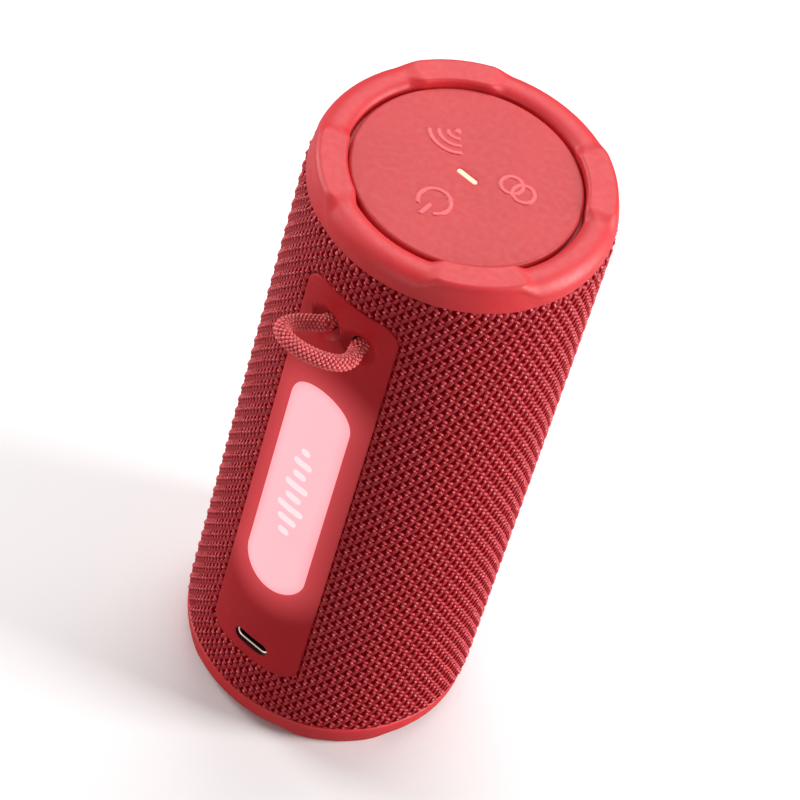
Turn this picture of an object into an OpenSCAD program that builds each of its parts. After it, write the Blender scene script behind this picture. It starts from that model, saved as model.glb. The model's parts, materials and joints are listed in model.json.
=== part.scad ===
// Portable cylindrical speaker, standing upright on its lower rim.
// Origin: centre of the standing plane. +Z runs up the axis, -Y faces the light strip, +Y the driver.

/* [Body] */
// Overall height, over the pads of both rims
body_h = 161.6; // [160:0.4:164]
// Outer diameter over the fabric
body_d = 67; // [66.8:0.1:67.6]
// Thickness of the knitted fabric
fabric_t = 1.2; // [0.8:0.1:1.2]
// Wall of the perforated sleeve under the fabric
grille_t = 1.2; // [0.8:0.1:1.2]
// Wall of the sealed enclosure
shell_t = 2; // [1.6:0.1:2.4]

/* [Rims] */
// Height of each rubber rim
rim_h = 6.6; // [6.4:0.1:6.8]
// Arc covered by each of the four pads, in degrees
pad_arc = 38; // [30:1:44]
// How far a pad stands out past the rim between pads
pad_step = 0.2; // [0.1:0.1:0.4]
// Radius of the round panel inside each rim
panel_r = 25; // [24.4:0.1:25]

/* [Light strip] */
// Width of the strip, measured across the flat
strip_w = 25.2; // [24:0.2:26]
// Height of the strip
strip_h = 123.8; // [122:0.2:126]
// Corner radius of the strip
strip_corner = 5; // [3:0.5:6]
// Width of the lit window
window_w = 16.8; // [15:0.2:18]
// Height of the lit window
window_h = 69.1; // [64:0.1:72]

/* [Carry loop] */
// Diameter of the braided cord
cord_d = 3.8; // [3.6:0.1:4.2]
// Distance from the middle to each cord hole
cord_x = 4.4; // [4.2:0.1:4.8]
// Height of the cord holes
cord_z = 133.8; // [133:0.2:136]

/* [Buttons] */
// Distance from the axis to each key on the control panel
key_orbit = 10.8; // [10.4:0.1:11.4]
// Radius of a key on the control panel
key_r = 6.4; // [5.6:0.1:6.6]
// Radius of a key on the front
front_key_r = 4.3; // [3.8:0.1:4.6]
// Spacing of the keys on the front
front_key_gap = 12; // [11:0.5:13]
// Travel of every key
key_travel = 0.4; // [0.2:0.05:0.45]

/* [Driver] */
// Width of the driver's flange
driver_w = 42; // [40:0.5:42]
// Height of the driver's flange
driver_h = 86; // [84:0.5:87]
// Height of the driver's centre
driver_z = 83.8; // [83.4:0.2:84.2]
// Radius of the voice coil
coil_r = 10; // [9.8:0.1:10.2]

/* [Hidden] */
$fn = 96;

red = [0.72, 0.16, 0.2];
deep_red = [0.6, 0.13, 0.16];
black = [0.08, 0.08, 0.09];
board_green = [0.07, 0.22, 0.13];
steel = [0.7, 0.7, 0.72];
copper = [0.75, 0.42, 0.22];

eps = 0.01;
slack = 0.1;                                // running gap round every key
fabric_r = body_d / 2;
grille_r = fabric_r - fabric_t - 0.1;
grille_in_r = grille_r - grille_t;
shell_r = 30.8;
shell_in_r = shell_r - shell_t;

// Levels along the axis
rim_base_z = body_h - rim_h;                // underside of the upper rim
panel_z = body_h - 1.6;                     // face of the control panel
panel_t = 2.2;
carrier_t = 1.4;
carrier_z = panel_z - panel_t - carrier_t;  // underside of the carrier
shell_top_z = body_h - 10.8;
shell_base_z = 10.8;
bulkhead_z = 33.8;
bulkhead_t = 2;
end_plug_h = 5;
end_flange_t = 2;
bottom_seat_z = 3.8;                        // underside of the bottom end frame

// Control board stack, under the panel
control_t = 1.2;
control_z = carrier_z - 3;
switch_w = 6.2;
switch_t = 1.2;
plunger_r = 1.2;
plunger_l = 1.1;
plunger_in = 0.6;                           // how far a plunger reaches into its switch at rest
plunger_z = carrier_z - 0.1 - plunger_l;
key_t = 1.6;
icon_h = 0.3;
stem_r = 2.1;
screw_r = 0.68;
screw_l = 3;
key_angles = [-90, 150, 30];                // power, wireless, link

// Front keys
front_key_z = body_h - 24.8;
pocket_y = 24;                              // floor of the front key pocket
front_board_t = 1.2;
front_switch_t = 1.2;
front_plunger_y = pocket_y + front_board_t + front_switch_t - plunger_in;
front_plunger_l = 1.1;
front_key_proud = 0.2;
front_icon_h = 0.5;

// Driver stack along +Y
baffle_y = 16;
baffle_t = 2.5;
gasket_t = 0.8;
flange_t = 1.5;
flange_y = baffle_y + baffle_t + gasket_t;
roll_r = 2;
cone_w = 31;
cone_h = 68;
roll_w = cone_w + 2 * roll_r + 0.6;
roll_h = cone_h + 2 * roll_r + 0.6;
motor_y = -3;
motor_r = 14;
motor_l = 10;
cone_y = flange_y + flange_t - 0.6;
neck_y = 11.4;
arm_y = 8.5;                                // back of the basket's two arms

// Side radiators
radiator_x = 24.5;                          // outer face of the side baffles
radiator_y = -1;
radiator_w = 26;
radiator_h = 62;
radiator_z = 82.8;
plate_w = 14;
plate_h = 50;
radiator_roll = 1.8;

// Light strip
strip_in_r = 31.3;
strip_r = 33.2;
strip_z = 82;
window_z = 80.7;
usb_z = 25.5;
usb_w = 8.94;
usb_h = 3.26;
back_pocket_y = -26.6;
back_pocket_z = [40.8, 142.8];
back_cable_z = 44.8;
light_board_t = 1.2;
main_board_t = 1.6;
main_board_z = usb_z - usb_h / 2 - main_board_t;
hinge_y = -33.1;
cord_root_y = -28;

battery_r = 9.2;
battery_h = 65;
battery_y = -14.5;
battery_z = 39.8;

// ---------- shared shapes ----------

module ring(r_out, r_in, h) {
    difference() {
        cylinder(r = r_out, h = h);
        translate([0, 0, -1]) cylinder(r = r_in, h = h + 2);
    }
}

// A stadium, with w its width and l its overall length along the second axis
module stadium(w, l) {
    square([w, l - w], center = true);
    for (s = [-1, 1]) translate([0, s * (l - w) / 2]) circle(d = w);
}

// A stadium lying along the first axis
module flat_stadium(w, h) {
    rotate(90) stadium(h, w);
}

module round_rect(w, h, r) {
    square([w - 2 * r, h], center = true);
    square([w, h - 2 * r], center = true);
    for (x = [-1, 1], y = [-1, 1]) translate([x * (w / 2 - r), y * (h / 2 - r)]) circle(r = r);
}

// Turns flat shapes to stand upright, extruded towards a side of the body
module to_front(y, z) {
    translate([0, y, z]) rotate([90, 0, 180]) children();
}

module to_back(y, z) {
    translate([0, y, z]) rotate([90, 0, 0]) children();
}

module to_right(x, y, z) {
    translate([x, y, z]) rotate([90, 0, 90]) children();
}

// A sleeve cut to an upright outline on the light strip side
module back_shell(r_in, r_out, z) {
    intersection() {
        difference() {
            cylinder(r = r_out, h = body_h);
            translate([0, 0, -1]) cylinder(r = r_in, h = body_h + 2);
        }
        to_back(-r_in / 2, z) linear_extrude(r_out) children();
    }
}

module both_sides() {
    children();
    mirror([1, 0, 0]) children();
}

// ---------- rims ----------

// Points of an elliptical arc
function arc(cx, cy, rx, ry, from, to, steps = 6) =
    [for (i = [0:steps]) let (a = from + (to - from) * i / steps) [cx + rx * cos(a), cy + ry * sin(a)]];

rim_out_r = fabric_r - 0.5;                 // outside of the rim, between its pads
rim_seat_r = 28.8;
rim_seat_z = carrier_z + carrier_t + 0.2 - rim_base_z;

// Section of the rim between pads: radius against height above its base
function rim_section() = concat(
    [[rim_seat_r, 0], [rim_out_r, 0]],
    arc(29, 2.6, rim_out_r - 29, rim_h - 0.6 - 2.6, 0, 90),
    arc(28.8, rim_h - 2.4, 2.9, 1.8, 90, 180),
    [[26.2, rim_seat_z], [rim_seat_r, rim_seat_z]]);

// Section of the layer a pad adds, with its back inside the rim; the pad has a flat top to stand on
function pad_section() = concat(
    [[rim_out_r - 1, 0.2], [rim_out_r + pad_step, 0.2], [rim_out_r + pad_step, 1.8]],
    arc(30.9, rim_h - 1.2, 1.2, 1.2, 0, 90),
    arc(26.3, rim_h - 0.9, 26.3 - panel_r - 0.35, 0.9, 90, 180),
    [[panel_r + 0.35, rim_seat_z + 0.2], [28, rim_seat_z + 0.2]],
    [[28, rim_seat_z + 1], [30, rim_seat_z + 1]]);

module rim() {
    rotate_extrude() polygon(rim_section());
    for (a = [45:90:315])
        rotate(a - pad_arc / 2) rotate_extrude(angle = pad_arc) polygon(pad_section());
}

module top_rim() {
    color(red) translate([0, 0, rim_base_z]) rim();
}

module bottom_rim() {
    color(red) translate([0, 0, rim_h]) mirror([0, 0, 1]) rim();
}

// ---------- enclosure and end frames ----------

// A box of the barrel wall, with the flat plate and ledges that close it again
module chord_box(x, y, z, grow = 0) {
    translate([x[0] - grow, y[0] - grow, z[0] - grow])
        cube([x[1] - x[0] + 2 * grow, y[1] - y[0] + 2 * grow, z[1] - z[0] + 2 * grow]);
}

front_box = [[-40, 40], [baffle_y + baffle_t, 40], [driver_z - 44, driver_z + 44]];
side_box = [[radiator_x, 40], [radiator_y - 14, radiator_y + 14], [radiator_z - 33, radiator_z + 33]];
back_box = [[-11, 11], [-40, back_pocket_y], back_pocket_z];
cord_box = [[-11, 11], [-40, back_pocket_y + 2], [cord_z - 6, cord_z + 6]];
key_box = [[-19, 19], [pocket_y, 40], [front_key_z - 7, front_key_z + 7]];

module barrel_pockets(grow) {
    chord_box(front_box[0], front_box[1], front_box[2], grow);
    both_sides() chord_box(side_box[0], side_box[1], side_box[2], grow);
    chord_box(back_box[0], back_box[1], back_box[2], grow);
    chord_box(cord_box[0], cord_box[1], cord_box[2], grow);
    chord_box(key_box[0], key_box[1], key_box[2], grow);
}

module driver_screw_spots() {
    for (x = [-13, 13], z = [-39.5, 39.5]) translate([x, z]) children();
}

module enclosure() {
    color(black) difference() {
        union() {
            translate([0, 0, shell_base_z]) ring(shell_r, shell_in_r, shell_top_z - shell_base_z);
            intersection() {
                translate([0, 0, shell_base_z]) cylinder(r = shell_r, h = shell_top_z - shell_base_z);
                barrel_pockets(shell_t);
            }
            translate([0, 0, bulkhead_z]) cylinder(r = shell_in_r + eps, h = bulkhead_t);
        }
        barrel_pockets(0);
        to_front(baffle_y - 5, driver_z) linear_extrude(10) {
            stadium(36, 74);
            driver_screw_spots() circle(d = 1.6);
        }
        both_sides() to_right(radiator_x - 5, radiator_y, radiator_z) linear_extrude(10) stadium(19, 53);
        // port for the usb socket, and cable ways through pocket floors and bulkhead
        to_back(-22, usb_z) linear_extrude(12) flat_stadium(usb_w + 3.2, usb_h + 3.2);
        translate([8, -21, 0]) to_back(0, back_cable_z) linear_extrude(10) circle(d = 3);
        translate([14, 8, bulkhead_z - 1]) cylinder(d = 4, h = bulkhead_t + 2);
        to_front(15, front_key_z - 5) linear_extrude(10) circle(d = 3);
    }
}

module three_around(r, first = 0) {
    for (a = [0:120:240]) rotate(first + a) translate([r, 0, 0]) children();
}

// The end frames close the barrel and carry everything inside a rim; z runs outwards from the barrel's end
module end_frame(ring_h) {
    difference() {
        union() {
            cylinder(r = shell_r, h = end_flange_t);
            translate([0, 0, -end_plug_h]) ring(shell_in_r - 0.1, shell_in_r - 3, end_plug_h + eps);
            translate([0, 0, end_flange_t - eps]) ring(28.6, 26.6, ring_h + eps);
        }
        translate([0, 0, -3]) ring(shell_in_r + 1, shell_in_r - 1.7, 1.8);
    }
}

// A post for a board, with a pilot hole in its head
module board_post(h) {
    difference() {
        cylinder(r = 2.6, h = h);
        translate([0, 0, h - screw_l]) cylinder(r = screw_r + 0.02, h = screw_l + 1);
    }
}

module top_end_frame() {
    post_base_z = shell_top_z + end_flange_t;
    color(black) difference() {
        union() {
            translate([0, 0, shell_top_z]) end_frame(carrier_z - post_base_z);
            translate([0, 0, shell_top_z - 2]) three_around(20)
                cylinder(r = 2.6, h = control_z - shell_top_z + 2);
        }
        translate([0, 0, control_z - screw_l]) three_around(20) cylinder(r = screw_r + 0.02, h = screw_l + 1);
    }
}

module bottom_end_frame() {
    color(black) {
        translate([0, 0, shell_base_z]) mirror([0, 0, 1])
            end_frame(shell_base_z - end_flange_t - bottom_seat_z - carrier_t);
        translate([0, 0, bottom_seat_z]) cylinder(r = 28.6, h = carrier_t + eps);
        translate([0, 0, shell_base_z - eps]) three_around(22, 30)
            board_post(main_board_z - shell_base_z + eps);
    }
}

module seal_ring() {
    rotate_extrude() translate([shell_in_r - 0.85, 0]) circle(r = 0.8);
}

module top_seal_ring() {
    color(black) translate([0, 0, shell_top_z - 2.1]) seal_ring();
}

module bottom_seal_ring() {
    color(black) translate([0, 0, shell_base_z + 2.1]) seal_ring();
}

// ---------- sleeve and fabric ----------

strip_gap = 0.3;

module strip_outline(grow = 0) {
    round_rect(strip_w + 2 * grow, strip_h + 2 * grow, strip_corner + grow);
}

module front_key_spots() {
    for (i = [-1, 0, 1]) translate([i * front_key_gap, 0, 0]) children();
}

module grille_sleeve() {
    slot_rows = 9;
    slot_pitch = 8.4;
    color(black) difference() {
        translate([0, 0, rim_h + 0.1]) ring(grille_r, grille_in_r, body_h - 2 * rim_h - 0.2);
        to_back(-20, strip_z) linear_extrude(20) strip_outline(0.2);
        front_key_spots() to_front(20, front_key_z) linear_extrude(20) circle(r = front_key_r + 0.25);
        // sound slots over the driver and over each radiator
        for (a = [-32:8:32], k = [0:slot_rows - 1])
            rotate(a) translate([-1, 25, driver_z - 36.6 + k * slot_pitch]) cube([2, 12, 6]);
        both_sides() for (a = [-16:8:16], k = [1:slot_rows - 2])
            rotate(a - 90) translate([-1, 25, driver_z - 36.6 + k * slot_pitch]) cube([2, 12, 6]);
    }
}

module fabric_sleeve() {
    fabric_base_z = rim_h + 0.1;
    color(red) difference() {
        translate([0, 0, fabric_base_z]) ring(fabric_r, fabric_r - fabric_t, body_h - 2 * fabric_base_z);
        to_back(-20, strip_z) linear_extrude(20) strip_outline(strip_gap);
        front_key_spots() to_front(20, front_key_z) linear_extrude(20) circle(r = front_key_r + 0.25);
    }
}

// ---------- control panel ----------

module at_key(i) {
    rotate(key_angles[i]) translate([key_orbit, 0, 0]) rotate(-key_angles[i]) children();
}

module light_slit(grow = 0) {
    flat_stadium(5.2 + 2 * grow, 1.2 + 2 * grow);
}

module control_panel() {
    color(red) translate([0, 0, panel_z - panel_t]) difference() {
        cylinder(r = panel_r, h = panel_t);
        for (i = [0:2]) at_key(i) translate([0, 0, -1]) cylinder(r = key_r + slack, h = panel_t + 2);
        translate([0, 0, -1]) linear_extrude(panel_t + 2) light_slit(0.05);
    }
}

module bottom_panel() {
    base_z = body_h - panel_z;
    color(deep_red) translate([0, 0, base_z]) cylinder(r = panel_r, h = bottom_seat_z - base_z);
}

module panel_carrier() {
    color(black) translate([0, 0, carrier_z]) difference() {
        cylinder(r = 28.6, h = carrier_t);
        for (i = [0:2]) at_key(i) translate([0, 0, -1]) cylinder(r = stem_r + 0.3, h = carrier_t + 2);
        translate([0, 0, -1]) linear_extrude(carrier_t + 2) light_slit(0.2);
    }
}

module key_cap(i) {
    key_z = panel_z - key_t;
    stem_z = plunger_z + plunger_l;
    color(red) at_key(i) {
        translate([0, 0, key_z]) cylinder(r = key_r, h = key_t);
        translate([0, 0, stem_z]) cylinder(r = stem_r, h = key_z - stem_z + eps);
        translate([0, 0, panel_z - eps]) linear_extrude(icon_h + eps) children();
    }
}

// An arc of line width t, from angle a0 to a1
module arc_line(r, t, a0, a1) {
    steps = 10;
    function p(i, q) = let (a = a0 + (a1 - a0) * i / steps) [q * cos(a), q * sin(a)];
    polygon(concat([for (i = [0:steps]) p(i, r + t / 2)], [for (i = [steps:-1:0]) p(i, r - t / 2)]));
}

// Broken ring with a stroke in the gap; the front of the speaker reads it upright
module power_icon() {
    arc_line(3.2, 0.6, -60, 240);
    translate([-0.3, -4.6]) square([0.6, 3.2]);
}

// A dot sending out two waves
module wireless_icon() {
    translate([0, 2.4]) circle(r = 0.75);
    for (r = [2.6, 4.6]) translate([0, 2.4]) arc_line(r, 0.7, -135, -45);
}

// Two linked rings
module link_icon() {
    for (x = [-1.5, 1.5]) translate([x, 0]) difference() {
        circle(r = 2.6);
        circle(r = 1.9);
    }
}

module power_button() {
    key_cap(0) power_icon();
}

module wireless_button() {
    key_cap(1) wireless_icon();
}

module link_button() {
    key_cap(2) link_icon();
}

module key_plunger(i) {
    color(steel) at_key(i) translate([0, 0, plunger_z]) cylinder(r = plunger_r, h = plunger_l);
}

module control_board() {
    color(board_green) translate([0, 0, control_z]) difference() {
        cylinder(r = 24, h = control_t);
        translate([0, 0, -1]) three_around(20) cylinder(r = screw_r + 0.1, h = control_t + 2);
    }
}

// A push switch, with a pocket that leaves its plunger room to travel
module switch_body(t) {
    pocket_z = t - plunger_in - key_travel - 0.08;
    difference() {
        translate([-switch_w / 2, -switch_w / 2, 0]) cube([switch_w, switch_w, t]);
        translate([0, 0, pocket_z]) cylinder(r = plunger_r + 0.05, h = 2);
    }
}

module control_switches() {
    color(steel) for (i = [0:2]) at_key(i) translate([0, 0, control_z + control_t]) switch_body(switch_t);
}

module status_led() {
    color("white") translate([-0.8, -0.4, control_z + control_t]) cube([1.6, 0.8, 0.5]);
}

module status_light_guide() {
    guide_z = control_z + control_t + 0.7;
    color("white") translate([0, 0, guide_z]) linear_extrude(panel_z - guide_z) light_slit();
}

// ---------- light strip ----------

module cord_hole_spots() {
    for (s = [-1, 1]) translate([s * cord_x, 0, cord_z]) children();
}

module strip_cover() {
    dish_r = 8.6;
    dish_depth = 1.4;
    color(deep_red) difference() {
        back_shell(strip_in_r, strip_r, strip_z) strip_outline();
        to_back(-20, window_z) linear_extrude(20) stadium(window_w, window_h);
        to_back(-20, usb_z) linear_extrude(20) flat_stadium(usb_w + 0.8, usb_h + 0.8);
        cord_hole_spots() {
            rotate([90, 0, 0]) cylinder(d = cord_d + 0.6, h = 40);
            translate([0, -strip_r - dish_r + dish_depth, 0]) sphere(r = dish_r);
        }
    }
}

module light_window() {
    color([1, 0.75, 0.8]) back_shell(strip_in_r + 0.1, strip_r - 0.1, window_z)
        stadium(window_w - 0.2, window_h - 0.2);
}

light_board_y = back_pocket_y;

module light_board() {
    color(board_green) to_back(light_board_y, window_z)
        linear_extrude(light_board_t) square([16, 66], center = true);
}

module light_leds() {
    color("white") for (x = [-4, 4], k = [-2.5:2.5])
        translate([x - 1.5, light_board_y - light_board_t - 0.8, window_z + k * 11 - 1.5]) cube([3, 0.8, 3]);
}

usb_mouth_y = -32.2;
usb_l = 7.3;

module usb_socket() {
    color(steel) translate([0, 0, usb_z]) difference() {
        to_back(usb_mouth_y + usb_l, 0) linear_extrude(usb_l) flat_stadium(usb_w, usb_h);
        to_back(usb_mouth_y + usb_l - 0.8, 0) linear_extrude(usb_l) flat_stadium(usb_w - 0.6, usb_h - 0.6);
    }
}

module usb_tongue() {
    color(black) translate([-3.35, usb_mouth_y + 1.2, usb_z - 0.35]) cube([6.7, usb_l - 2.05, 0.7]);
}

module usb_seal() {
    color(black) to_back(-29, usb_z) linear_extrude(1.7) difference() {
        flat_stadium(usb_w + 3, usb_h + 3);
        flat_stadium(usb_w + 0.04, usb_h + 0.04);
    }
}

// ---------- carry loop ----------

// Control points of the loop's centre line, a fifth-degree Bezier curve between the two holes
loop_points = [[-cord_x, hinge_y, cord_z], [-cord_x - 3.1, hinge_y - 3.4, cord_z],
    [-22.5, -52.5, cord_z + 5], [10.5, -45, cord_z + 2],
    [cord_x + 2.1, hinge_y - 3.9, cord_z - 1.5], [cord_x, hinge_y, cord_z]];

function binomial(n, k) = k == 0 ? 1 : binomial(n, k - 1) * (n - k + 1) / k;
function blend_weight(n, k, t) = binomial(n, k) * pow(1 - t, n - k) * pow(t, k);
function loop_at(t) = [for (axis = [0:2]) let (n = len(loop_points) - 1)
    [for (k = [0:n]) 1] * [for (k = [0:n]) loop_points[k][axis] * blend_weight(n, k, t)]];
function unit(v) = v / norm(v);

module carry_loop() {
    rings = 28;
    sides = 14;
    // each section turns with the line: one edge stays as near to +Z as it can
    function section(i) = let (t = i / rings, c = loop_at(t),
        d = unit(loop_at(min(1, t + 0.01)) - loop_at(max(0, t - 0.01))),
        u = unit(cross(d, [0, 0, 1])), v = cross(u, d))
        [for (j = [0:sides - 1]) let (a = 360 * j / sides) c + cord_d / 2 * (u * cos(a) + v * sin(a))];
    points = [for (i = [0:rings]) each section(i)];
    walls = [for (i = [0:rings - 1], j = [0:sides - 1]) let (k = (j + 1) % sides)
        [i * sides + j, i * sides + k, (i + 1) * sides + k, (i + 1) * sides + j]];
    caps = [[for (j = [sides - 1:-1:0]) j], [for (j = [0:sides - 1]) rings * sides + j]];
    color(red) {
        polyhedron(points, concat(walls, caps), convexity = 4);
        // round ends, on the hinge line
        for (x = [-cord_x, cord_x]) translate([x - 1, hinge_y, cord_z])
            rotate([0, 90, 0]) cylinder(d = cord_d, h = 2);
    }
}

// The part of the cord held inside; its stubs end behind the round ends of the loop
module cord_root() {
    stub_l = cord_root_y - hinge_y - cord_d / 2 - 0.1;
    color(red) {
        translate([-cord_x, cord_root_y, cord_z]) rotate([0, 90, 0]) cylinder(d = cord_d, h = 2 * cord_x);
        for (s = [-1, 1]) translate([s * cord_x, cord_root_y, cord_z]) {
            sphere(d = cord_d);
            rotate([90, 0, 0]) cylinder(d = cord_d, h = stub_l);
        }
    }
}

module cord_saddle() {
    saddle_y = back_pocket_y + 2;
    color(black) difference() {
        translate([-2, -31, cord_z - cord_d / 2 - 1.2]) cube([4, 31 + saddle_y, cord_d + 2.4]);
        translate([-3, cord_root_y, cord_z]) rotate([0, 90, 0]) cylinder(d = cord_d + 0.02, h = 6);
    }
}

// ---------- boards and battery ----------

module main_board() {
    color(board_green) translate([0, 0, main_board_z]) difference() {
        intersection() {
            cylinder(r = shell_in_r - 0.6, h = main_board_t);
            translate([-40, usb_mouth_y + usb_l - 2, 0]) cube([80, 80, main_board_t]);
        }
        translate([0, 0, -1]) three_around(22, 30) cylinder(r = screw_r + 0.1, h = main_board_t + 2);
    }
}

module board_parts() {
    top = main_board_z + main_board_t;
    color(black) {
        translate([-3.5, -8, top]) cube([7, 7, 0.9]);
        translate([-14, -4, top]) cube([6, 6, 3]);
        translate([9, -4, top]) cube([6, 6, 3]);
        translate([-4, 8, top]) cube([8, 5, 1]);
        for (x = [-11, 11]) translate([x, 12, top]) cylinder(r = 2.5, h = 6);
    }
}

// A pan-head screw with its head's seat at the origin
module pan_screw(l, r, head_r) {
    difference() {
        union() {
            translate([0, 0, -l]) cylinder(r = r, h = l + eps);
            cylinder(r = head_r, h = 1.3);
        }
        translate([0, 0, 0.5]) cylinder(r = 0.9, h = 2, $fn = 6);
    }
}

module board_screws() {
    color(steel) {
        translate([0, 0, control_z + control_t]) three_around(20)
            pan_screw(control_t + screw_l - 0.2, screw_r, 1.9);
        translate([0, 0, main_board_z + main_board_t]) three_around(22, 30)
            pan_screw(main_board_t + screw_l - 0.2, screw_r, 1.9);
    }
}

module battery_cell() {
    color([0.2, 0.35, 0.6]) translate([0, battery_y, battery_z]) {
        cylinder(r = battery_r, h = battery_h);
        translate([0, 0, battery_h - eps]) cylinder(r = 3, h = 1);
    }
}

module battery_cradle() {
    color(black) for (z = [8, 50]) translate([0, battery_y, battery_z + z]) difference() {
        union() {
            cylinder(r = battery_r + 1.2, h = 7);
            translate([-6, back_pocket_y + shell_t - battery_y, 0]) cube([12, 4, 7]);
        }
        translate([0, 0, -1]) cylinder(r = battery_r + 0.02, h = 9);
        translate([-5, 0, -1]) cube([10, 20, 9]);
        translate([-20, -40 + back_pocket_y + shell_t - battery_y, -1]) cube([40, 40, 9]);
    }
}

// ---------- driver ----------

module driver_outline() {
    round_rect(driver_w, driver_h, 10);
}

module driver_gasket() {
    color(black) to_front(baffle_y + baffle_t, driver_z) linear_extrude(gasket_t) difference() {
        driver_outline();
        stadium(roll_w + 0.4, roll_h + 0.4);
        driver_screw_spots() circle(d = 2.6);
    }
}

module funnel(w, h, y, r, neck) {
    hull() {
        to_front(y, driver_z) linear_extrude(eps) stadium(w, h, $fn = 32);
        to_front(neck, driver_z) cylinder(r = r, h = eps, $fn = 32);
    }
}

module driver_basket() {
    color(black) difference() {
        union() {
            to_front(flange_y, driver_z) linear_extrude(flange_t) driver_outline();
            to_front(motor_y + motor_l, driver_z)
                cylinder(r = motor_r + 1.2, h = arm_y + 2 - motor_y - motor_l);
            for (s = [-1, 1]) to_front(arm_y, driver_z + s * 24) linear_extrude(flange_y - arm_y + eps)
                square([9, 23.6], center = true);
        }
        to_front(arm_y, driver_z) cylinder(r = motor_r - 0.6, h = 20);
        to_front(motor_y, driver_z) cylinder(r = 12, h = 20);
        to_front(flange_y - 1, driver_z) linear_extrude(4) stadium(roll_w - 3, roll_h - 3);
        to_front(arm_y + 2, driver_z) linear_extrude(20) stadium(cone_w + 1, cone_h + 1);
        to_front(flange_y - 1, driver_z) linear_extrude(4) driver_screw_spots() circle(d = 2.4);
    }
}

// Half a round roll, bulging outwards along a stadium of the given size
module roll(w, l, r, t) {
    module section() {
        intersection() {
            difference() {
                circle(r = r, $fn = 48);
                circle(r = r - t, $fn = 48);
            }
            translate([-r, 0]) square([2 * r, r]);
        }
    }
    for (s = [0, 180]) rotate(s) {
        translate([0, (l - w) / 2, 0]) rotate_extrude(angle = 180) translate([w / 2, 0]) section();
        translate([w / 2, (l - w) / 2, 0]) rotate([90, 0, 0]) linear_extrude(l - w) section();
    }
}

module driver_surround() {
    color(black) to_front(flange_y + flange_t, driver_z) roll(roll_w, roll_h, roll_r, 0.5);
}

module driver_damper() {
    color([0.8, 0.65, 0.3]) to_front(arm_y, driver_z) ring(motor_r - 0.65, coil_r + 0.8, 0.5);
}

module driver_cone() {
    color([0.15, 0.15, 0.16]) difference() {
        funnel(cone_w, cone_h, cone_y, coil_r + 0.6, neck_y);
        funnel(cone_w - 1.2, cone_h - 1.2, cone_y + 0.1, coil_r, neck_y - 0.1);
    }
}

module dust_cap() {
    cap_r = 20;
    cap_y = neck_y + 0.1;
    color([0.12, 0.12, 0.13]) to_front(cap_y, driver_z) difference() {
        intersection() {
            translate([0, 0, 2.6 - cap_r]) sphere(r = cap_r);
            cylinder(r = coil_r, h = cap_r);
        }
        translate([0, 0, 2 - cap_r]) sphere(r = cap_r);
    }
}

module voice_coil() {
    color(copper) to_front(neck_y - 7.6, driver_z) ring(coil_r + 0.35, coil_r - 0.15, 7.5);
}

module motor_cup() {
    color(steel) to_front(motor_y, driver_z) difference() {
        cylinder(r = motor_r, h = motor_l);
        translate([0, 0, 3]) cylinder(r = coil_r + 1, h = motor_l);
    }
}

module motor_magnet() {
    color(steel) to_front(motor_y + 3, driver_z) cylinder(r = coil_r - 1.5, h = 4.5);
}

module pole_plate() {
    color(steel) to_front(motor_y + 7.5, driver_z) cylinder(r = coil_r - 0.7, h = 2.5);
}

module driver_screws() {
    color(steel) to_front(flange_y + flange_t, driver_z) driver_screw_spots() pan_screw(4, 0.78, 2.2);
}

// ---------- side radiators ----------

module radiator_frames() {
    color(black) both_sides() to_right(radiator_x, radiator_y, radiator_z) linear_extrude(1.5) difference() {
        round_rect(radiator_w, radiator_h, 5);
        stadium(plate_w + 4 * radiator_roll + 0.6, plate_h + 4 * radiator_roll + 0.6);
    }
}

module radiator_surrounds() {
    color(black) both_sides() to_right(radiator_x, radiator_y, radiator_z)
        roll(plate_w + 2 * radiator_roll + 0.4, plate_h + 2 * radiator_roll + 0.4, radiator_roll - 0.02, 0.5);
}

module radiator_plate() {
    color([0.15, 0.15, 0.16]) to_right(radiator_x - 0.4, radiator_y, radiator_z) {
        linear_extrude(1.2) stadium(plate_w, plate_h);
        translate([0, 0, -1.5]) linear_extrude(1.5 + eps) stadium(plate_w - 5, plate_h - 10);
    }
}

module radiator_plate_right() {
    radiator_plate();
}

module radiator_plate_left() {
    mirror([1, 0, 0]) radiator_plate();
}

// ---------- front keys ----------

module front_key_board() {
    color(board_green) to_front(pocket_y, front_key_z)
        linear_extrude(front_board_t) square([34, 13], center = true);
}

module front_key_switches() {
    color(steel) front_key_spots() to_front(pocket_y + front_board_t, front_key_z)
        switch_body(front_switch_t);
}

module front_plunger(i) {
    color(steel) translate([i * front_key_gap, 0, 0]) to_front(front_plunger_y, front_key_z)
        cylinder(r = plunger_r, h = front_plunger_l);
}

// A rubber key whose face follows the round body
module front_key(i) {
    key_y = front_plunger_y + front_plunger_l;
    color(red) {
        intersection() {
            translate([i * front_key_gap, 0, 0]) to_front(key_y, front_key_z)
                cylinder(r = front_key_r, h = 12);
            cylinder(r = fabric_r + front_key_proud, h = body_h);
        }
        intersection() {
            translate([i * front_key_gap, 0, 0]) to_front(key_y + 1, front_key_z)
                linear_extrude(12) children();
            cylinder(r = fabric_r + front_key_proud + front_icon_h, h = body_h);
        }
    }
}

module minus_icon() {
    square([4.6, 1], center = true);
}

module plus_icon() {
    minus_icon();
    square([1, 4.6], center = true);
}

module play_icon() {
    polygon([[2, -2.3], [2, 2.3], [-2.2, 0]]);
}

module volume_up_button() {
    front_key(-1) plus_icon();
}

module play_button() {
    front_key(0) play_icon();
}

module volume_down_button() {
    front_key(1) minus_icon();
}

// ---------- assembly ----------

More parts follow.
